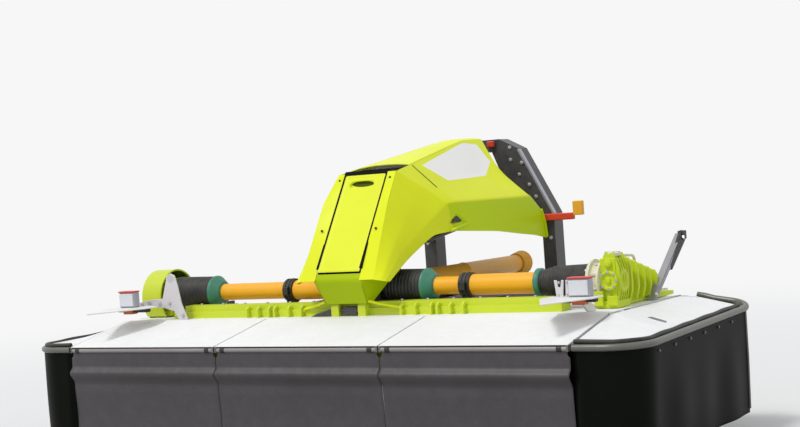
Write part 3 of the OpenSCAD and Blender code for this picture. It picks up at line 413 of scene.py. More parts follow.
front_curtain_cloth = finish("front_curtain_cloth", "curtain_rubber", (66, 62, 66), 0.42, 0.22, 0.10,
    bump=0.0008, dust_colour=(150, 146, 140), extra=woven)
rail_paint = finish("rail_profile", "grey_tube", (148, 144, 145), 0.38, 0.25, 0.08, metallic=0.3)
black_trim = finish("black_trim", "black_plastic", (24, 24, 25), 0.5, tone=0.1)
rail_r, roll_z, curtain_sway, ear_room, clip_in, clip_half = 13, 520, 3, 14, 40, 14
for word in front_words:
    body = f"front_curtain_{word}"
    low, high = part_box(body)
    x0, x1 = low.x * 1000, high.x * 1000
    rail_z = high.z * 1000 - rail_r
    piece(body + "_rail", [along_rail(x0, x1, rail_r)], rail_paint, body)
    # Below the ears the cloth is wider than its tube, and round the tube a little narrower
    down = np.concatenate([[rail_z - 8], np.linspace(rail_z - rail_r - 1, low.z * 1000, 90)])[:, None]
    wide = ease_step((rail_z - rail_r - 20 - down) / 10) * (ear_room - 2) - 3 * (down > rail_z - rail_r)
    share = np.linspace(0, 1, 71)[None, :]
    across = (x0 - wide) * (1 - share) + (x1 + wide) * share
    wave = curtain_sway * (np.sin(across / 173 + 0.6) + 0.7 * np.sin(across / 91 + down / 260))
    hang = ease_step((rail_z - down) / 300)
    y = (rail_r - 26 * ease_step((roll_z + 28 - down) / 40) + 36 * ease_step((roll_z - 6 - down) / 70)
         + 8 * np.sin(np.clip(roll_z - 120 - down, 0, None) / 95) + wave * hang)
    cloth_sheet(body + "_cloth", joined(across, y, down), front_curtain_cloth, body, body, 0.005)
    clips = [along_rail(x - clip_half, x + clip_half, rail_r + 3) for x in (x0 + clip_in, x1 - clip_in)]
    piece(body + "_clips", clips, black_trim, body, ease=0.002)


# Side covers: a bent steel tube on two hinges, a white cloth laced inside it, and a heavy black
# rubber curtain below with a rod in its rear edge. Each swings up on the deck's edge.
def tube_level(y):
    """Height of the outer tube's centre: level round the front corner, then rising evenly to the rear."""
    return tube_z + tube_rise * np.maximum(0, y - tube_r - front_bend) / (side_end - tube_r - front_bend)


def swept(path, radius, count=20):
    """A round bar along a path in millimetres: rings square to the path, carried on with the least turn."""
    path = np.asarray(path, float)
    tangent = np.gradient(path, axis=0)
    tangent /= np.linalg.norm(tangent, axis=1)[:, None]
    spare = np.array([0, 0, 1]) if abs(tangent[0, 2]) < 0.9 else np.array([1, 0, 0])
    across = [np.cross(tangent[0], spare)]
    for step in tangent[1:]:
        across.append(across[-1] - step * np.dot(across[-1], step))
    across = np.array(across)
    across /= np.linalg.norm(across, axis=1)[:, None]
    other = np.cross(tangent, across)
    turn = np.linspace(0, 2 * np.pi, count, endpoint=False)[None, :, None]
    return through(path[:, None] + radius * (np.cos(turn) * across[:, None] + np.sin(turn) * other[:, None]))


def plate(outline, across, low, high):
    """A flat plate: its outline's two coordinates lie off the axis `across`, and it spans low to high on it."""
    rings = np.empty((2, len(outline), 3))
    rings[..., across] = [[low], [high]]
    rings[..., [axis for axis in range(3) if axis != across]] = np.asarray(outline, float)
    return through(rings)


side_x, side_start, side_end, tube_r, front_bend, rear_bend = 1950, 1612, 1660, 18, 210, 110
tube_z, tube_rise, rear_tube_z, hinge_x, hinge_z = 642, 30, 740, 1618, 752
curtain_foot, rod_foot, hem_r, welt_r, rod_r = 95, 118, 5.5, 12, 7
tube_grey = finish("side_tube_grey", "grey_tube", (106, 106, 101), 0.32, 0.12, 0.08, metallic=0.35)
side_rubber = finish("side_curtain_rubber", "curtain_rubber", (11, 14, 10), 0.42, 0.05, 0.25,
                     bump=0.0008, dust_colour=(60, 64, 50), specular=0.05)
quarter = np.linspace(0, np.pi / 2, 13)
y_front = tube_r + front_bend * (1 - np.cos(quarter))
y_rear = side_end - rear_bend * (1 - np.sin(quarter))
y_side = np.linspace(300, side_end - rear_bend - 60, 8)
tube_path = np.concatenate([
    [[side_start + 4, tube_r, tube_z], [side_x - front_bend - 60, tube_r, tube_z]],
    joined(side_x - front_bend * (1 - np.sin(quarter)), y_front, tube_level(y_front)),
    joined(side_x, y_side, tube_level(y_side)),
    joined(side_x - rear_bend * (1 - np.cos(quarter)), y_rear,
           tube_level(y_rear) + (rear_tube_z - tube_level(y_rear)) * np.linspace(0, 1, 13) * 0.45),
    [[1740, side_end, rear_tube_z - 22], [1690, side_end, rear_tube_z - 8],
     [side_start + tube_r + 14, side_end, rear_tube_z]]])
# The cloth: its inner edge lies along the hinges and its outer edge stops short of the tube.
along = np.concatenate([tube_r + 20 + (front_bend - 10) * (1 - np.cos(np.linspace(0, np.pi / 2, 16))),
                        np.linspace(260, side_end - 3 * tube_r, 70)])
bend = np.where(along < tube_r + front_bend, side_x - front_bend + np.sqrt(np.clip(
    front_bend ** 2 - (tube_r + front_bend - along) ** 2, 0, None)), side_x)
edge_out = bend - 34 - 78 * ease_step((along - (side_end - rear_bend - 40)) / 110)
edge_in = np.where(along < 495, side_start + 4, side_start + 18)
inner_z = np.where(along < 500, 660 + 0.2 * along, np.where(along < 1420, 760, 760 - (along - 1420) * 0.1)) - 6
outer_z = tube_level(along) + tube_r - 2
share = np.linspace(0, 1, 34)[None, :]
sag = -7 * np.sin(np.pi * share) * np.sin(np.pi * np.clip((along - 100) / 1400, 0, 1))[:, None]
cloth = joined(edge_in[:, None] * (1 - share) + edge_out[:, None] * share, along[:, None],
               np.maximum(inner_z, outer_z)[:, None] * (1 - share) + outer_z[:, None] * share + sag)
border = np.concatenate([cloth[0, 2:-1], cloth[:, -1], cloth[-1, ::-1][1:-2]]) + [0, 0, 1]
welt = np.concatenate([cloth[0, 1:-3] + [0, -9, 9], cloth[2:-2, -1] + [14, 0, 7]])
welt[:, 2] += 1.5 * np.sin(welt[:, 1] / 47)
# The rubber curtain follows the tube in plan, is tucked in behind the front curtain, and swings
# a little inwards towards its foot.
lead = np.linspace(side_start - 50, side_x - front_bend, 24)
plan = np.concatenate([
    joined(lead, tube_r + 30 * (1 - ease_step((lead - side_start + 22) / 60)))[:-1],
    joined(side_x - front_bend * (1 - np.sin(quarter)), y_front)[:-1],
    joined(side_x, np.linspace(tube_r + front_bend, side_end - rear_bend, 60))])
gone = np.concatenate([[0], np.cumsum(np.linalg.norm(np.diff(plan, axis=0), axis=1))])
top = tube_level(plan[:, 1]) - tube_r + 6
fall = np.linspace(0, 1, 40)[:, None]
height = top[None, :] * (1 - fall) + curtain_foot * fall
outward = np.gradient(plan, axis=0)
outward = joined(outward[:, 1], -outward[:, 0]) / np.linalg.norm(outward, axis=1)[:, None]
waves = 6 * np.sin(gone / 118) + 4 * np.sin(gone / 61 + 1)
billow = ease_step(fall * 1.4) * waves[None, :] - 10 * fall ** 2
curtain = np.concatenate([plan[None] + billow[..., None] * outward[None], height[..., None]], -1)
rod_y = side_end - rear_bend - 4
rod = np.array([[side_x + 3, rod_y, tube_level(rod_y)], [side_x + 2, rod_y, 400],
    [side_x - 5, rod_y, rod_foot]])
for side, word in sides:
    body = f"side_cover_{word}"
    flip = np.array([side, 1, 1])
    parts = [swept(tube_path * flip, tube_r, 24)]
    for y in (640, 1360):
        parts.append(spun([[0, 8], [90, 8]], [side * hinge_x, y, hinge_z], 1, 20))
        rib = np.array([[hinge_x + 4, hinge_z - 8], [side_x - 12, tube_level(y) - 10],
            [side_x - 12, tube_level(y) + 8], [hinge_x + 4, hinge_z - 1]])
        parts.append(plate(rib * [side, 1], 1, y + 22, y + 68))
    piece(f"side_tube_{word}", parts, tube_grey, body, f"side_frame_{word}")
    cloth_sheet(f"side_cloth_{word}", cloth * flip, white_cloth, body, f"side_cover_{word}", 0.004)
    piece(f"side_cloth_hem_{word}", [swept(border * flip, hem_r, 10)], white_cloth, body)
    piece(f"side_cloth_welt_{word}", [swept(welt * flip, welt_r, 14)], black_trim, body)
    cloth_sheet(f"side_curtain_cloth_{word}", curtain * flip, side_rubber, body, f"side_curtain_{word}", 0.006)
    studs = [[side * (side_x + 4), y, tube_level(y) - 44] for y in range(260, 1500, 210)]
    piece(f"side_curtain_rod_{word}", [swept(rod * flip, rod_r, 12)] + bolts(studs, [side, 0, 0], 14, 5),
          tube_grey, body)


# Cross beam, boom, arms and headstock: welded box sections and plates. The beam is lime, the
# rest anthracite, and the lift and the lower links pull on the pins at the rear.
def bar(x, y, z):
    """A plain block between two limits on each axis, in millimetres."""
    return plate([[x[0], z[0]], [x[1], z[0]], [x[1], z[1]], [x[0], z[1]]], 1, *y)


eased("main_beam", lime_paint, 0.005)
for node in ("boom", "lower_arms", "headstock", "gearbox_centre"):
    eased(node, dark_paint, 0.004)
for side, word in sides:
    eased(f"stand_{word}", dark_paint, 0.004, f"stand_{word}")
black_paint = finish("cylinder_black", "black_paint", (30, 30, 32), 0.25, tone=0.1)
dress(black_paint, "float_cylinders")
boom_pins = ((700, 910), (1180, 1400), (2200, 1380))
leg_bolts = ((460, 760), (460, 860), (460, 1080), (372, 1350), (330, 1430), (262, 1500), (285, 1575),
    (205, 1600), (205, 1680))
fixings = []
for side in (-1, 1):
    fixings += bolts([[side * x, 650, 834] for x in range(300, 1290, 165)], [0, 0, 1], 16)
    fixings += bolts([[side * 134, y, z] for y, z in boom_pins], [side, 0, 0], 34, 14)
    fixings += bolts([[side * x, 2269, z] for x, z in leg_bolts], [0, -1, 0], 20, 8)
piece("frame_bolts", fixings, bare_steel)

# Latch: a red bar on the headstock that a driver pulls by its yellow grip, and its red pawl
# at the apex. A bright strip edges each slanting leg.
red_paint = finish("latch_red", "red_paint", (222, 62, 42), 0.35, 0.12, 0.06)
grip_yellow = finish("grip_yellow", "red_paint", (245, 176, 40), 0.45, 0.12, 0.05)
silver = finish("leg_edge_silver", "zinc_steel", (168, 168, 182), 0.3, 0.1, 0.08, metallic=0.6)
latch_x, latch_z, head_face = 400, 1190, 2269.7
bars = [bar([latch_x, latch_x + 240], [2236, head_face], [latch_z, latch_z + 44]),
        bar([50, 100], [2240, head_face], [1690, 1730])]
piece("latch_bar", bars, red_paint, replaces="lever", ease=0.007, segments=3)
grip = bar([latch_x + 239, latch_x + 305], [2234, head_face], [latch_z + 26, latch_z + 117])
piece("latch_grip", [grip], grip_yellow, ease=0.006, segments=3)
strip_foot, strip_top, strip_y, strip_deep, strip_wide = np.array([496, 1236]), np.array([270,
    1668]), 2264, 40, 16
run = (strip_top - strip_foot) / np.linalg.norm(strip_top - strip_foot)
inward = strip_wide * np.array([run[1], -run[0]])
strip = np.array([strip_foot, strip_top, strip_top - inward, strip_foot - inward])
edges = [plate(strip * [side, 1], 1, strip_y, strip_y + strip_deep) for side in (-1, 1)]
piece("headstock_edge_strips", edges, silver, ease=0.003)


# Drive: three gearboxes, two guarded side shafts and the input shaft. The guards are yellow
# plastic tubes with black ribbed bells, green collars and a black clamp where they slide.
def ribbed(start, end, radius_start, radius_end, rib=20, depth=4):
    """A bell's profile: its radius runs evenly between the ends, with rounded ribs a pitch apart."""
    s = np.linspace(start, end, int(abs(end - start) / rib * 10) + 2)
    share = (s - start) / (end - start)
    dip = depth * (0.5 - 0.5 * np.cos(2 * np.pi * (s - start) / rib)) ** 2
    return joined(s, radius_start + (radius_end - radius_start) * share - dip).tolist()


def on_shaft(profile, index=0):
    """A turned part on the side shafts' line, or on the input shaft's where index is 1. The profile's
    first column is x or y in millimetres."""
    return spun(profile, [0, 0 if index else shaft_y, shaft_z], index, 48)


guard_yellow = finish("guard_yellow", "yellow_plastic", (250, 178, 18), 0.38, 0.10, 0.05, grain=0.5)
bell_black = finish("bell_black", "black_plastic", (30, 29, 33), 0.5, 0.14, 0.15, grain=0.8)
collar_green = finish("collar_green", "black_plastic", (52, 128, 108), 0.42, tone=0.08)
shaft_y, shaft_z, thin_r, thick_r, bell_r = 790, 900, 50, 58, 102
tubes = []
for start, stop, radius in ((420, 672, thin_r), (660, 1142, thick_r), (-1082, -560, thin_r),
        (-572, -190, thick_r)):
    tubes.append(on_shaft([[start, radius - 2], [start, radius], [stop, radius], [stop, radius - 2]]))
piece("side_shaft_tubes", tubes, guard_yellow, replaces="shaft_tubes", smooth=40)
bells = [[[160, 60], [160, bell_r], *ribbed(166, 386, bell_r, bell_r - 4, 22), [388, 84], [388, 40]],
    [[1108, 40], [1108, 62], *ribbed(1112, 1180, 66, 84, 17, 3), *ribbed(1182, 1396, 86, 92, 13.4, 3),
    [1400, 88], [1400, 60]], [[-1400, 60], [-1400, bell_r - 4], *ribbed(-1396, -1118, bell_r, bell_r - 4,
    19.9), [-1114, 80], [-1114, 40]], [[-200, 40], [-200, 70], [-188, 88], [-160, 92], [-160, 60]]]
piece("side_shaft_bells", [on_shaft(bell) for bell in bells], bell_black, replaces="shaft_guards", smooth=50)
cone = np.array([[0, bell_r - 12], [2, bell_r - 1], [14, bell_r], [20, bell_r - 6], [58, thick_r + 10],
                 [66, thick_r + 2], [66, 40]])
cuff = [[1076, 50], [1076, 70], [1082, 78], [1104, 78], [1110, 72], [1110, 50]]
piece("guard_collars", [on_shaft(cone + [386, 0]), on_shaft(cuff), on_shaft(cone + [-1116, 0])], collar_green,
    smooth=50)
clamp = np.array([[-34, 50], [-34, 64], [-28, 69], [-12, 69], [-10, 64], [-2, 64], [0, 70], [12, 70], [14, 64],
                  [22, 64], [24, 68], [32, 68], [34, 62], [34, 50]])
clamps = []
for x in (650, -540):
    clamps.append(on_shaft(clamp + [x, 0]))
    clamps.append(bar([x - 18, x + 18], [shaft_y - 84, shaft_y - 50], [shaft_z - 22, shaft_z + 22]))
    clamps.append(bar([x - 30, x + 30], [shaft_y - 30, shaft_y + 10], [shaft_z - 84, shaft_z - 56]))
piece("guard_clamps", clamps, bell_black, replaces="shaft_clamps", ease=0.002)
end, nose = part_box("input_guard")[1].y * 1000 - deck_front * 1000, 1050
guard = [[nose + 2, 30], [nose + 2, 81], *ribbed(nose + 6, nose + 98, 82, 70, 18, 3), [nose + 104, thick_r],
         [1900, thick_r], [1906, thick_r + 4], [1912, thick_r], [end - 100, thick_r],
         *ribbed(end - 98, end - 4, 68, 82, 18, 3), [end, 81], [end, 38]]
piece("input_shaft_guard", [on_shaft(guard, 1)], guard_yellow, replaces="input_guard", smooth=50)
dress(bare_steel, "input_shaft")


# Gearboxes: lime castings over the ends of the cutterbar's drive. The left one is long, with
# cooling ribs, bolted covers, a cream flange and a breather pipe; the right one is short.
def casing_top(y):
    """The height of the rear casing's sloping crest at a distance behind the deck's front edge."""
    return 1012 - 0.26 * (y - 869)


cream_paint = finish("flange_cream", "lime_paint", (228, 224, 196), 0.42, tone=0.08)
casting_lime = finish("casting_lime", "lime_paint", (206, 224, 22), 0.46, 0.12, 0.08, grain=1.2,
                      bump=0.0012)
gear_top, gear_foot, foot_y, cover_x, cover_z, cap_x = 1035, 762, 1209, 1518, 905, 1520
side_caps = ((940, 922, 50), (1060, 900, 50), (1168, 876, 42))
core = [bar([1470, 1556], [shaft_y - 66, shaft_y + 76], [gear_foot, gear_top - 16]),
    plate([[862, gear_foot], [862, 1010], [1236, casing_top(1236)], [1262, 880], [1242, gear_foot]], 0, 1450,
    1536), plate([[foot_y, gear_foot], [foot_y, 800], [foot_y + 300, 784], [foot_y + 306, gear_foot]], 0,
    1480, 1560), bar([1446, 1568], [shaft_y - 78, shaft_y + 76], [gear_foot, 800]),
    bar([1440, 1490], [690, 716], [776, 852]), bar([1512, 1570], [696, 716], [776, 826]),
    spun([[0, 62], [14, 62], [18, 56], [18, 40], [12, 36], [12, 0.5]], [1560, shaft_y, shaft_z], 0)]
piece("gearbox_left_housing", core, casting_lime, replaces="gearbox_left", ease=0.012, segments=4)
ribs = []
for step, peak in enumerate((14, 4, 14, 8, 14)):
    y, peak = 729 + 28 * step, gear_top + peak
    shield = np.array([[1452, 790], [1432, 830], [1422, 900], [1426, 970], [1444, 1008], [1462, peak - 8],
        [1484, peak], [1500, peak - 9], [1516, peak], [1538, peak - 8], [1556, 1004], [1572, 966],
        [1576, 900], [1566, 830], [1550, 790]])
    ribs.append(plate((shield - [1576, 0]) * [0.74, 1] + [1578, 0], 1, y, y + 11))
for step, y in enumerate(np.arange(885, 1240, 43.5)):
    wide, proud = ((24, 0), (9, 16))[step % 2]
    crest = casing_top(y + 7) + 12 - proud * 0.6
    bow = [[1462, 786], [1446 + proud, 850], [1444 + proud, crest - 26], [1458, crest - 5], [1480, crest],
           [1534 - proud, crest], [1560 - proud, crest - 9], [1575 - proud, crest - 36], [1575 - proud, 846],
           [1560 - proud, 786]]
    ribs.append(plate(bow, 1, y, y + wide))
for x, z, r in ((cover_x, cover_z, 52), (cap_x, 992, 20)):
    ribs.append(spun([[0, 20], [-4, r], [-18, r], [-22, r - 4], [-22, r - 14], [-14, r - 18], [-14, 14],
        [-26, 12], [-26, 0.5]], [x, 729, z], 1))
for y, z, r in side_caps:
    ribs.append(spun([[0, r - 14], [1, r - 4], [5, r], [16, r], [30, 20]], [1445, y, z], 0))
piece("gearbox_left_ribs", ribs, casting_lime, ease=0.003)
stub = [[0, 60], [0, 112], [10, 116], [18, 116], [22, 96], [40, 88], [54, 88], [58, 110], [70, 110], [74, 90],
    [74, 50]]
flange = [spun(stub, [1401, shaft_y, shaft_z], 0),
          spun([[0, 44], [16, 44], [19, 34], [24, 30], [24, 8]], [cap_x, shaft_y - 6, gear_top - 6], 2)]
for turn in np.radians(np.arange(20, 360, 45)):
    y, z = shaft_y + 96 * np.cos(turn), shaft_z + 96 * np.sin(turn)
    flange.append(bar([1420, 1462], [y - 6, y + 6], [z - 6, z + 6]))
piece("gearbox_left_flanges", flange, cream_paint, ease=0.0015)
boss = ring_of_bolts([1402, shaft_y, shaft_z], 0, -1, 106, 10, 13, 6)
boss += ring_of_bolts([cap_x, shaft_y - 6, gear_top + 10], 2, 1, 38, 6, 11, 6)
boss += ring_of_bolts([cover_x, 708, cover_z], 1, -1, 45, 8, 12, 6)
for y, z, r in side_caps:
    boss += ring_of_bolts([1446, y, z], 0, -1, r - 12, 6, 11, 6)
boss += bolts([[1520, foot_y + far, 800 - 16 * far / 300] for far in (90, 160, 230, 286)], [0, 0, 1], 24, 12)
piece("gearbox_left_bolts", boss, bare_steel)
pipe = [[1520, 905, 990], [1520, 905, 1012], [1518, 911, 1020], [1510, 925, 1023], [1500, 1080, 1012],
        [1498, 1104, 1008], [1498, 1118, 998], [1498, 1124, 984], [1498, 1126, 950]]
piece("breather_pipe", [swept(pipe, 7.5, 14)], cream_paint)
short = bar([-1574, -1424], [shaft_y - 74, shaft_y + 74], [gear_foot, 968])
piece("gearbox_right_housing", [short], casting_lime, replaces="gearbox_right", ease=0.014, segments=4)
more = [spun([[0, 40], [0, 96], [18, 96], [18, 60]], [-1422, shaft_y, shaft_z], 0)]
for y in shaft_y - 62 + 23 * np.arange(6):
    more.append(bar([-1580, -1416], [y, y + 8], [790, 978]))
piece("gearbox_right_ribs", more, casting_lime, ease=0.002)
centre_bolts = ring_of_bolts([0, 900, 1000], 2, 1, 60, 6, 16)
for side in (1, -1):
    centre_bolts += ring_of_bolts([side * 160, shaft_y, shaft_z], 0, side, 66, 8, 13)
piece("gearbox_centre_bolts", centre_bolts, bare_steel)


# Drum guard: a rolled lime hoop over the right swath drum's drive, with a turned-in rim. Its
# inside is painted shade, a lining of dull dark lime, and a thin wall closes its far end.
def hoop_arc(x, radius):
    """An open arc of the hoop: (x, centre y + r cos a, centre z + r sin a)."""
    arc = np.radians(np.linspace(-42, 222, 72))
    return joined(x, hoop_y + radius * np.cos(arc), hoop_z + radius * np.sin(arc))


def hoop_band(x0, x1, radius, wall):
    """A band of the hoop between two places on its axis, with its wall counted inwards."""
    corners = ((x0, radius), (x1, radius), (x1, radius - wall), (x0, radius - wall))
    return through(np.stack([hoop_arc(x, r) for x, r in corners], 1))


hoop_y, hoop_z, hoop_r, hoop_x0, hoop_x1 = 810, 880, 170, -1590, -1440
# Painted shade: the lining inside the hoop and its end wall are a dark dull lime.
inside_painted_shade = finish("drum_guard_inside_painted_shade", "lime_paint", (84, 104, 16), 0.6, 0.1, 0.15, grain=0.6,
                     specular=0.15)
piece("drum_guard_hoop", [hoop_band(hoop_x0, hoop_x1, hoop_r, 7), swept(hoop_arc(hoop_x1 - 3, hoop_r - 3), 6,
    10)], lime_paint, replaces="drum_guard", ease=0.002)
wall = spun([[0, 0.5], [0, hoop_r - 8], [3, hoop_r - 8], [3, 0.5]], [hoop_x0 + 2, hoop_y, hoop_z], 0)
piece("drum_guard_shade_lining", [hoop_band(hoop_x0 + 2, hoop_x1 - 10, hoop_r - 7.5, 2), wall], inside_painted_shade)


# Lamps and warning plates: a lamp on each pointed white plate, with an amber reflector under
# it, on a forked galvanised bracket with slotted holes that is bolted to the deck.
def block(x, y, z):
    """A box beside the lamp: x is counted outwards from the lamp's middle, z from the plate."""
    return bar([side * (lamp_x + x[0]), side * (lamp_x + x[1])], [lamp_y + y[0], lamp_y + y[1]],
               [shelf_z + z[0], shelf_z + z[1]])


lens_clear = finish("lamp_lens", "zinc_steel", (222, 224, 230), 0.12, 0.05, 0.02, grain=0.1)
lamp_grey = finish("lamp_housing", "zinc_steel", (176, 174, 184), 0.38, 0.15, 0.05)
amber = finish("reflector_amber", "zinc_steel", (205, 96, 30), 0.2, 0.1, 0.05)
galvanised = finish("galvanised", "zinc_steel", (224, 221, 224), 0.42, 0.12, 0.12, metallic=0.35)
board_white = finish("marker_board", "zinc_steel", (238, 238, 236), dust=0.12, tone=0.04)
lamp_x, lamp_y, shelf_z = 1494, 414, 845
board = np.array([[1304, 330], [1464, 10], [1602, 330], [1602, 450], [1504, 525], [1434, 525], [1304, 450]])
# Each part of a lamp: its name, material, eased edge and boxes
lamp_parts = (("lamp_case", lamp_grey, 0.007, ([[-60, 60], [-20, 30], [6, 99]],
    [[-20, 20], [28, 44], [20, 70]])), ("lamp_lens", lens_clear, 0.005,
    ([[-53, 53], [-29, -18], [14, 90]],)), ("lamp_cap", red_paint, 0.003,
    ([[-62, 62], [-26, 32], [98, 106]],)), ("reflector", amber, 0.004, ([[-42, 30], [-26, 28], [-34, -1]],)),
    ("reflector_holder", black_trim, 0.003, ([[-150, -46], [-20, 20], [-24, -1]],
    [[34, 84], [-10, 24], [-22, -1]])))
for side, word in sides:
    piece(f"marker_plate_{word}", [plate(board * [side, 1], 2, shelf_z, shelf_z + 6)], board_white,
        replaces="lamps", ease=0.002)
    for name, mat, ease, boxes in lamp_parts:
        piece(f"{name}_{word}", [block(*box) for box in boxes], mat, ease=ease, segments=3 if ease > 0.004
            else 2)
# The right lamp stands on a forked plate with a hole at its top, the left one on a foot with prongs
fork_y, foot_x, prong_y = 516, 1465, 411
fork = np.array([[1130, 760], [1198, 760], [1233, 814], [1300, 832], [1425, 846], [1510, 845], [1510, 868],
                 [1425, 885], [1318, 890], [1290, 974], [1275, 1028], [1245, 1042], [1214, 1028], [1195, 970],
                 [1173, 861]])
foot = [[454, 846], [454, 825], [534, 762], [634, 762], [634, 774], [525, 846]]
prongs = ([[1362, 847], [1352, 937], [1368, 937], [1374, 901], [1386, 901], [1392, 937], [1406, 937],
    [1398, 847]], [[1412, 847], [1416, 937], [1430, 937], [1430, 847]])
brackets = [plate(fork * [-1, 1], 1, fork_y, fork_y + 8), plate(foot, 0, foot_x, foot_x + 10)]
brackets += [plate(prong, 1, prong_y, prong_y + 6) for prong in prongs]
piece("lamp_brackets", brackets, galvanised, ease=0.002)
fork_bolts = ((-1262, 862), (-1340, 862), (-1420, 866), (-1480, 857), (-1166, 785))
prong_bolts = ((1379, 925), (1424, 925), (1374, 862), (1422, 862))
rings = [spun([[0, 9], [0, 24], [10, 24], [10, 9], [0, 9]], [-1245, fork_y - 1, 1010], 1, 28)]
rings += bolts([[x, fork_y, z] for x, z in fork_bolts], [0, -1, 0], 20, 8)
rings += bolts([[x, prong_y, z] for x, z in prong_bolts], [0, -1, 0], 11, 4)
rings += bolts([[foot_x, 590, 768], [foot_x, 500, 812]], [-1, 0, 0], 16, 8)
piece("lamp_bracket_bolts", rings, bare_steel)

# Struts: flat galvanised bars that hold the side covers when they are up, each with a black catch
# at its end. The left one stands, the right one lies on the deck.
strut_grey = finish("strut_grey", "zinc_steel", (152, 152, 157), tone=0.12, metallic=0.5)
eased("fold_struts", strut_grey, 0.002)
strut_x = 1598
lip = plate([[1115, 761], [1120, 758], [1601, 1092], [1598, 1097]], 0, strut_x - 40, strut_x)
piece("strut_flange", [lip], strut_grey, ease=0.001)
ends = bolts([[strut_x, 1150, 790]], [1, 0, 0], 22) + bolts([[strut_x, 1598, 1072]], [1, 0, 0], 26, 12)
piece("strut_bolts", ends + bolts([[-strut_x, 985, 766]], [-1, 0, 0], 22), bare_steel)
catches = [plate([[1388, 925], [1412, 902], [1655, 1062], [1650, 1092], [1612, 1114], [1584, 1100]], 0, 1580,
    1600), bar([1574, 1606], [1590, 1652], [1062, 1110]), bar([-1604, -1580], [1490, 1556], [752, 786])]
piece("strut_catches", catches, bell_black, ease=0.004)


# Hood: moulded lime panels over the boom, with rounded creases. A flap in front hinges at its
# foot and has a moulded grip; a bare white field lies on each upper side.
def moulded(stations, spacing=12, rounds=10, crisp=()):
    """A panel over stations of points: straight between them in both directions, sampled about every
    spacing, then each inner point is moved to the mean of its neighbours a few times to round creases.
    Crisp lines, given as (direction, station), are put back to a tenth of that rounding at each turn."""
    counts = []

    def refine(g):
        lengths = np.linalg.norm(np.diff(g, axis=0), axis=2).mean(1)
        steps = np.maximum(2, np.round(lengths / spacing).astype(int))
        counts.append(np.concatenate([[0], np.cumsum(steps)]))
        rows = [g[i] + (g[i + 1] - g[i]) * (np.arange(n) / n)[:, None, None] for i, n in enumerate(steps)]
        return np.concatenate(rows + [g[-1:]])

    grid = refine(refine(np.asarray(stations, float)).transpose(1, 0, 2)).transpose(1, 0, 2)
    held = np.zeros(grid.shape[:2], bool)
    for direction, station in crisp:
        index = counts[direction][station]
        held |= (np.arange(held.shape[direction]) == index).reshape((-1, 1) if direction == 0 else (1, -1))
    for _ in range(rounds):
        before = grid.copy()
        inner = 0.25 * (grid[:-2, 1:-1] + grid[2:, 1:-1] + grid[1:-1, :-2] + grid[1:-1, 2:])
        edges = [0.5 * (grid[:-2, 0] + grid[2:, 0]), 0.5 * (grid[:-2, -1] + grid[2:, -1]),
                 0.5 * (grid[0, :-2] + grid[0, 2:]), 0.5 * (grid[-1, :-2] + grid[-1, 2:])]
        grid[1:-1, 1:-1] = inner
        grid[1:-1, 0], grid[1:-1, -1], grid[0, 1:-1], grid[-1, 1:-1] = edges
        grid[held] = before[held] + 0.1 * (grid[held] - before[held])
    return grid


def shelled(grid, thickness, inward):
    """A closed shell: the grid in millimetres, the grid moved in by its thickness along `inward`, and
    the rim between."""
    rows, columns = grid.shape[:2]
    count = rows * columns
    faces = cells(rows, columns)
    back = [[q + count for q in face[::-1]] for face in faces]
    rim = np.concatenate([np.arange(columns), np.arange(1, rows) * columns + columns - 1, (rows - 1) * columns
        + np.arange(columns - 2, -1, -1), np.arange(rows - 2, 0, -1) * columns])
    after = np.roll(rim, -1)
    edge = np.stack([rim, after, after + count, rim + count], 1).tolist()
    return mm(np.stack([grid, grid + np.asarray(inward) * thickness])), faces + back + edge


hood_stations = np.array([
    [[243, 455, 969], [285, 470, 962], [300, 490, 955], [305, 530, 950]],
    [[230, 588, 1200], [280, 640, 1150], [300, 680, 1100], [305, 720, 1050]],
    [[220, 700, 1394], [290, 800, 1300], [335, 870, 1220], [360, 940, 1180]],
    [[195, 849, 1560], [300, 1000, 1440], [375, 1100, 1350], [385, 1130, 1190]],
    [[180, 1046, 1594], [300, 1110, 1455], [390, 1190, 1360], [400, 1220, 1185]],
    [[119, 1610, 1696], [280, 1500, 1490], [415, 1600, 1360], [425, 1620, 1160]],
    [[100, 1860, 1738], [262, 1800, 1510], [425, 1900, 1360], [435, 1920, 1125]],
    [[95, 2085, 1745], [250, 1986, 1548], [432, 2066, 1363], [440, 2107, 1106]],
    [[96, 2090, 1740], [252, 1992, 1545], [440, 2205, 1261], [440, 2250, 1080]]], float)
field_outline = np.array([[1150, 1586], [1812, 1721], [1969, 1708], [1970, 1590], [1790, 1502], [1300, 1485]],
    float)
field_inner_x, fold_z, seam_y, seam_z, seam_lean = 0.112, 1.354, 1.113, 1.27, 0.19


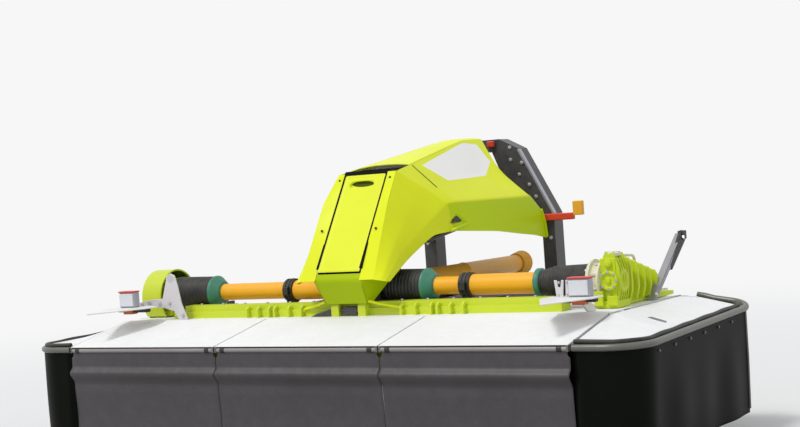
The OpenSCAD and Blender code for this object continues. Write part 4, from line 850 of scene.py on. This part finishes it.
def hood_fields(add, paint, height):
    """The bare field on the upper sides: white where a point lies inside all edges of the outline in the
    side view, which is the least of its distances to them. The lower band, behind the front seam and
    under the fold, gets painted shade: it is blended to a deeper lime."""
    place = add("TexCoord").outputs["Object"]
    split = add("SeparateXYZ", {0: place}).outputs
    least = maths(add, "SUBTRACT", maths(add, "ABSOLUTE", split["X"]), field_inner_x)
    corners = field_outline * 0.001 + [deck_front, 0]
    for start, stop in zip(corners, np.roll(corners, -1, axis=0)):
        run = (stop - start) / np.linalg.norm(stop - start)
        offset = float(run[1] * start[0] - run[0] * start[1])
        reach = add("VectorMath", {0: place, 1: [0, float(run[1]), float(-run[0])]}, operation="DOT_PRODUCT")
        least = maths(add, "MINIMUM", least, maths(add, "SUBTRACT", reach.outputs["Value"], offset))
    below = ramp(add, split["Z"], fold_z + 0.004, fold_z - 0.004)
    slant = maths(add, "MULTIPLY_ADD", split["Z"], seam_lean, split["Y"])
    seam_at = seam_y + deck_front + seam_lean * seam_z
    band = maths(add, "MULTIPLY", below, ramp(add, slant, seam_at, seam_at + 0.01))
    # Painted shade: the lower band is blended to a deeper lime (204, 228, 0).
    paint = blend(add, band, paint, rgba((204, 228, 0)))
    return blend(add, ramp(add, least, 0, 0.002), paint, rgba((253, 251, 249))), height


moulding = {"roughness": 0.34, "dust": 0.02, "tone": 0.03, "grain": 0.15, "specular": 0.14}
hood_lime = finish("hood_lime", "lime_plastic", (234, 243, 36), extra=hood_fields, **moulding)
# Painted shade: the base and its cheeks take the hood's moulding in a darker lime.
base_painted_shade = finish("hood_base_painted_shade", "lime_plastic", (176, 200, 4), 0.38, 0.02, 0.04, 0.2, specular=0.14)
# Painted shade: a near-black sheet stands where gaps round the flap show only shade.
gap_shade_black = finish("gap_shade_black", "black_plastic", (13, 13, 14), 0.7, 0, 0.1, specular=0.1)
recess_y, recess_z, recess_half, recess_tall, recess_deep = 1180, 1234, 84, 50, 18
panel = moulded(hood_stations, crisp=((0, 3), (1, 2)))
normal = np.cross(np.gradient(panel, axis=0), np.gradient(panel, axis=1))
normal /= np.linalg.norm(normal, axis=2)[..., None]
normal *= np.sign(normal[..., :1].mean())
# A small triangular recess in the lower band, near the seam
rise = (panel[..., 2] - recess_z) / recess_tall
dent = ease_step((recess_half * (1 - rise) - np.abs(panel[..., 1] - recess_y)) / 16) * ease_step(rise * 5)
panel = panel - normal * (recess_deep * dent * (panel[..., 0] > 340))[..., None]
seam_top, seam_foot = hood_stations[4, 0], hood_stations[4, 1]
seam = np.array([seam_top + t * (seam_foot - seam_top) for t in (0.04, 0.35, 0.7, 1.05)])
lips = (([[404, 1270, 1226], [401, 1180, 1211], [396, 1092, 1196]], 9),
        ([[436, 2196, 1266], [443, 2222, 1190], [441, 2246, 1090]], 11),
        ([[146, 545, 845], [200, 562, 828], [262, 578, 814], [318, 590, 803], [334, 592, 790]], 8))
trims, seams_and_recess_shade = [], []
for side, word in sides:
    flip = np.array([side, 1, 1])
    piece(f"hood_panel_{word}", [shelled(panel * flip, 4, -normal * flip)], hood_lime,
          replaces=f"hood_side_{word}", smooth=55)
    trims += [swept(path * flip, radius, 14) for path, radius in lips]
    seams_and_recess_shade.append(swept(seam * flip, 2.8, 8))
    # A dark triangle inside the recess is painted shade; the swept strip before it is the panel seam.
    seams_and_recess_shade.append(plate([[1108, 1238], [1252, 1238], [1180, 1276]], 0, side * 384, side * 388))
piece("hood_trims", trims, hood_lime)
boom_foot = [bar([-48, 48], [566, 592], [766, 812]), spun([[0, 0.5], [0, 14], [124, 14], [124, 0.5]],
    [-62, 579, 790], 0), plate([[-112, 806], [-112, 764], [-262, 761], [-214, 778]], 1, 560, 592)]
piece("boom_foot_clamp", boom_foot, dark_paint, ease=0.003)
piece("hood_seams_and_recess_shade", seams_and_recess_shade, bell_black)
crown_in, crown_bow = 10, 11
crown = []
for x, y, z in hood_stations[4:8, 0]:
    crown.append([[crown_in - x, y, z], [-0.5 * x, y, z + crown_bow], [0.5 * x, y, z + crown_bow],
        [x - crown_in, y, z]])
piece("hood_crown", [shelled(moulded(crown), 4, [0, 0, -1])], hood_lime, replaces="hood_top", smooth=55)

flap_x, flap_gap, flap_low, flap_front, flap_back, flap_tall = 142, 6, 1018, 474, 360, 533
base_rows = [[[x, y, z] for x in (-wide, 0, wide)] for wide, y, z in ((160, 483, 1004), (160, 463, 969),
    (140, 543, 831))]
cheek = np.array([[[160, 463, 969], [232, 680, 969]], [[140, 543, 831], [140, 590, 831]]], float)
base_parts = [shelled(moulded(base_rows, 10, 3), 6, [0, 1, 0])]
front_parts, flap_gap_sheets = [], []
for side in (-1, 1):
    flip = np.array([side, 1, 1])
    strip = np.array([[[flap_x + flap_gap, p[1] + 2, p[2]], [p[0] + 1, p[1], p[2]]]
        for p in hood_stations[:4, 0]])
    strip[1:, 0, 1] = flap_front - 1 + (strip[1:, 0, 2] - flap_low) * flap_back / flap_tall
    front_parts.append(shelled(moulded(strip, 10, 6) * flip, 6, [0, 1, 0]))
    base_parts.append(shelled(moulded(cheek, 14, 2) * flip, 6, [-side, 0, 0]))
    flap_gap_sheets.append(plate([[486, 1034], [498, 1028], [858, 1561], [846, 1567]], 0, side * 128, side * 152))
piece("hood_front_shell", front_parts, hood_lime, replaces="hood_front", smooth=50)
piece("hood_front_base", base_parts, base_painted_shade, smooth=50)
# A black sheet of painted shade lies behind the gap round the flap
flap_gap_sheets.append(plate([[491, 985], [501, 985], [512, 1030], [499, 1036]], 0, -150, 150))
flap_gap_sheets.append(plate([[836, 1548], [848, 1544], [864, 1568], [852, 1574]], 0, -150, 150))
piece("flap_gap_shade", flap_gap_sheets, gap_shade_black)

# The flap: a flat pressed panel with folded edges, a stiffening border and a sunk grip at its top.
across = np.linspace(-1, 1, 97)[None, :]
up = np.linspace(0, 1, 161)[:, None]
half = flap_x - 2
flap = joined(half * across, flap_front + flap_back * up, flap_low + flap_tall * up)
run = np.linalg.norm([flap_back, flap_tall])
side_gap = (1 - np.abs(across)) * half
border = ease_step((side_gap - 16) / 6) * ease_step((up * run - 14) / 6) * ease_step(((1 - up) * run - 14) / 6)
grip_x, grip_down, grip_half, grip_tall = -12, 65, 78, 21
grip_across, grip_up = (half * across - grip_x) / grip_half, ((1 - up) * run - grip_down) / grip_tall
grip = ease_step((1.25 - np.sqrt(np.abs(grip_across) ** 4 + grip_up ** 2)) / 0.4)
edge_fold = ease_step((7 - np.minimum(side_gap, np.minimum(up, 1 - up) * run)) / 7)
sink = 1.5 * border + 20 * grip + 3 * edge_fold
out = np.array([0, -flap_tall, flap_back]) / run
grip_z, shade_tall = flap_low + flap_tall * (1 - grip_down / run), grip_tall * 0.83


def grip_shade(add, paint, height):
    """The sunk grip gets painted shade, a deep olive: a point lies in it where its place across and up,
    over the grip's two half sizes, squared and added, is under one."""
    place = add("SeparateXYZ", {0: add("TexCoord").outputs["Object"]}).outputs
    wide = maths(add, "MULTIPLY_ADD", place["X"], 1000 / grip_half, -grip_x / grip_half)
    tall = maths(add, "MULTIPLY_ADD", place["Z"], 1000 / shade_tall, -grip_z / shade_tall)
    reach = maths(add, "MULTIPLY_ADD", wide, wide, maths(add, "MULTIPLY", tall, tall))
    return blend(add, ramp(add, reach, 1.05, 0.8), paint, rgba((70, 78, 4))), height


flap_lime = finish("flap_lime", "lime_plastic", (234, 243, 56), extra=grip_shade, **moulding)
piece("hood_flap_panel", [shelled(flap - sink[..., None] * out, 3, -out)], flap_lime, "hood_flap",
    "hood_flap", smooth=50)
piece("hood_flap_pin", [spun([[0, 5], [2 * flap_x, 5]], [-flap_x, 486, flap_low + 8], 0, 16)], bare_steel,
    "hood_flap")
# A black sheet of painted shade closes the gap between the flap's top and the crown
gap_shade_sheet = [[[-175, 872, 1551], [175, 872, 1551]], [[-168, 1060, 1581], [168, 1060, 1581]]]
piece("hood_gap_shade", [shelled(moulded(gap_shade_sheet, 30, 0), 3, [0, 0, -1])], gap_shade_black)
screws = []
for x, share in ((182, 0.41), (172, 0.93)):
    spot = [np.interp(share * 3, range(4), hood_stations[:4, 0, axis]) for axis in (1, 2)]
    screws += [[side * x, spot[0] - 1, spot[1]] for side in (-1, 1)]
piece("hood_screws", bolts(screws, [0, -0.85, 0.5], 12, 4), bell_black)

# Hoses: two pairs of hydraulic lines clipped along the boom's plates, from the cylinders to
# the headstock. They are fixed at every clip.
hose_black = finish("hose_black", "black_plastic", (26, 26, 28), 0.45, 0.25, 0.1)
dress(hose_black, "hoses")
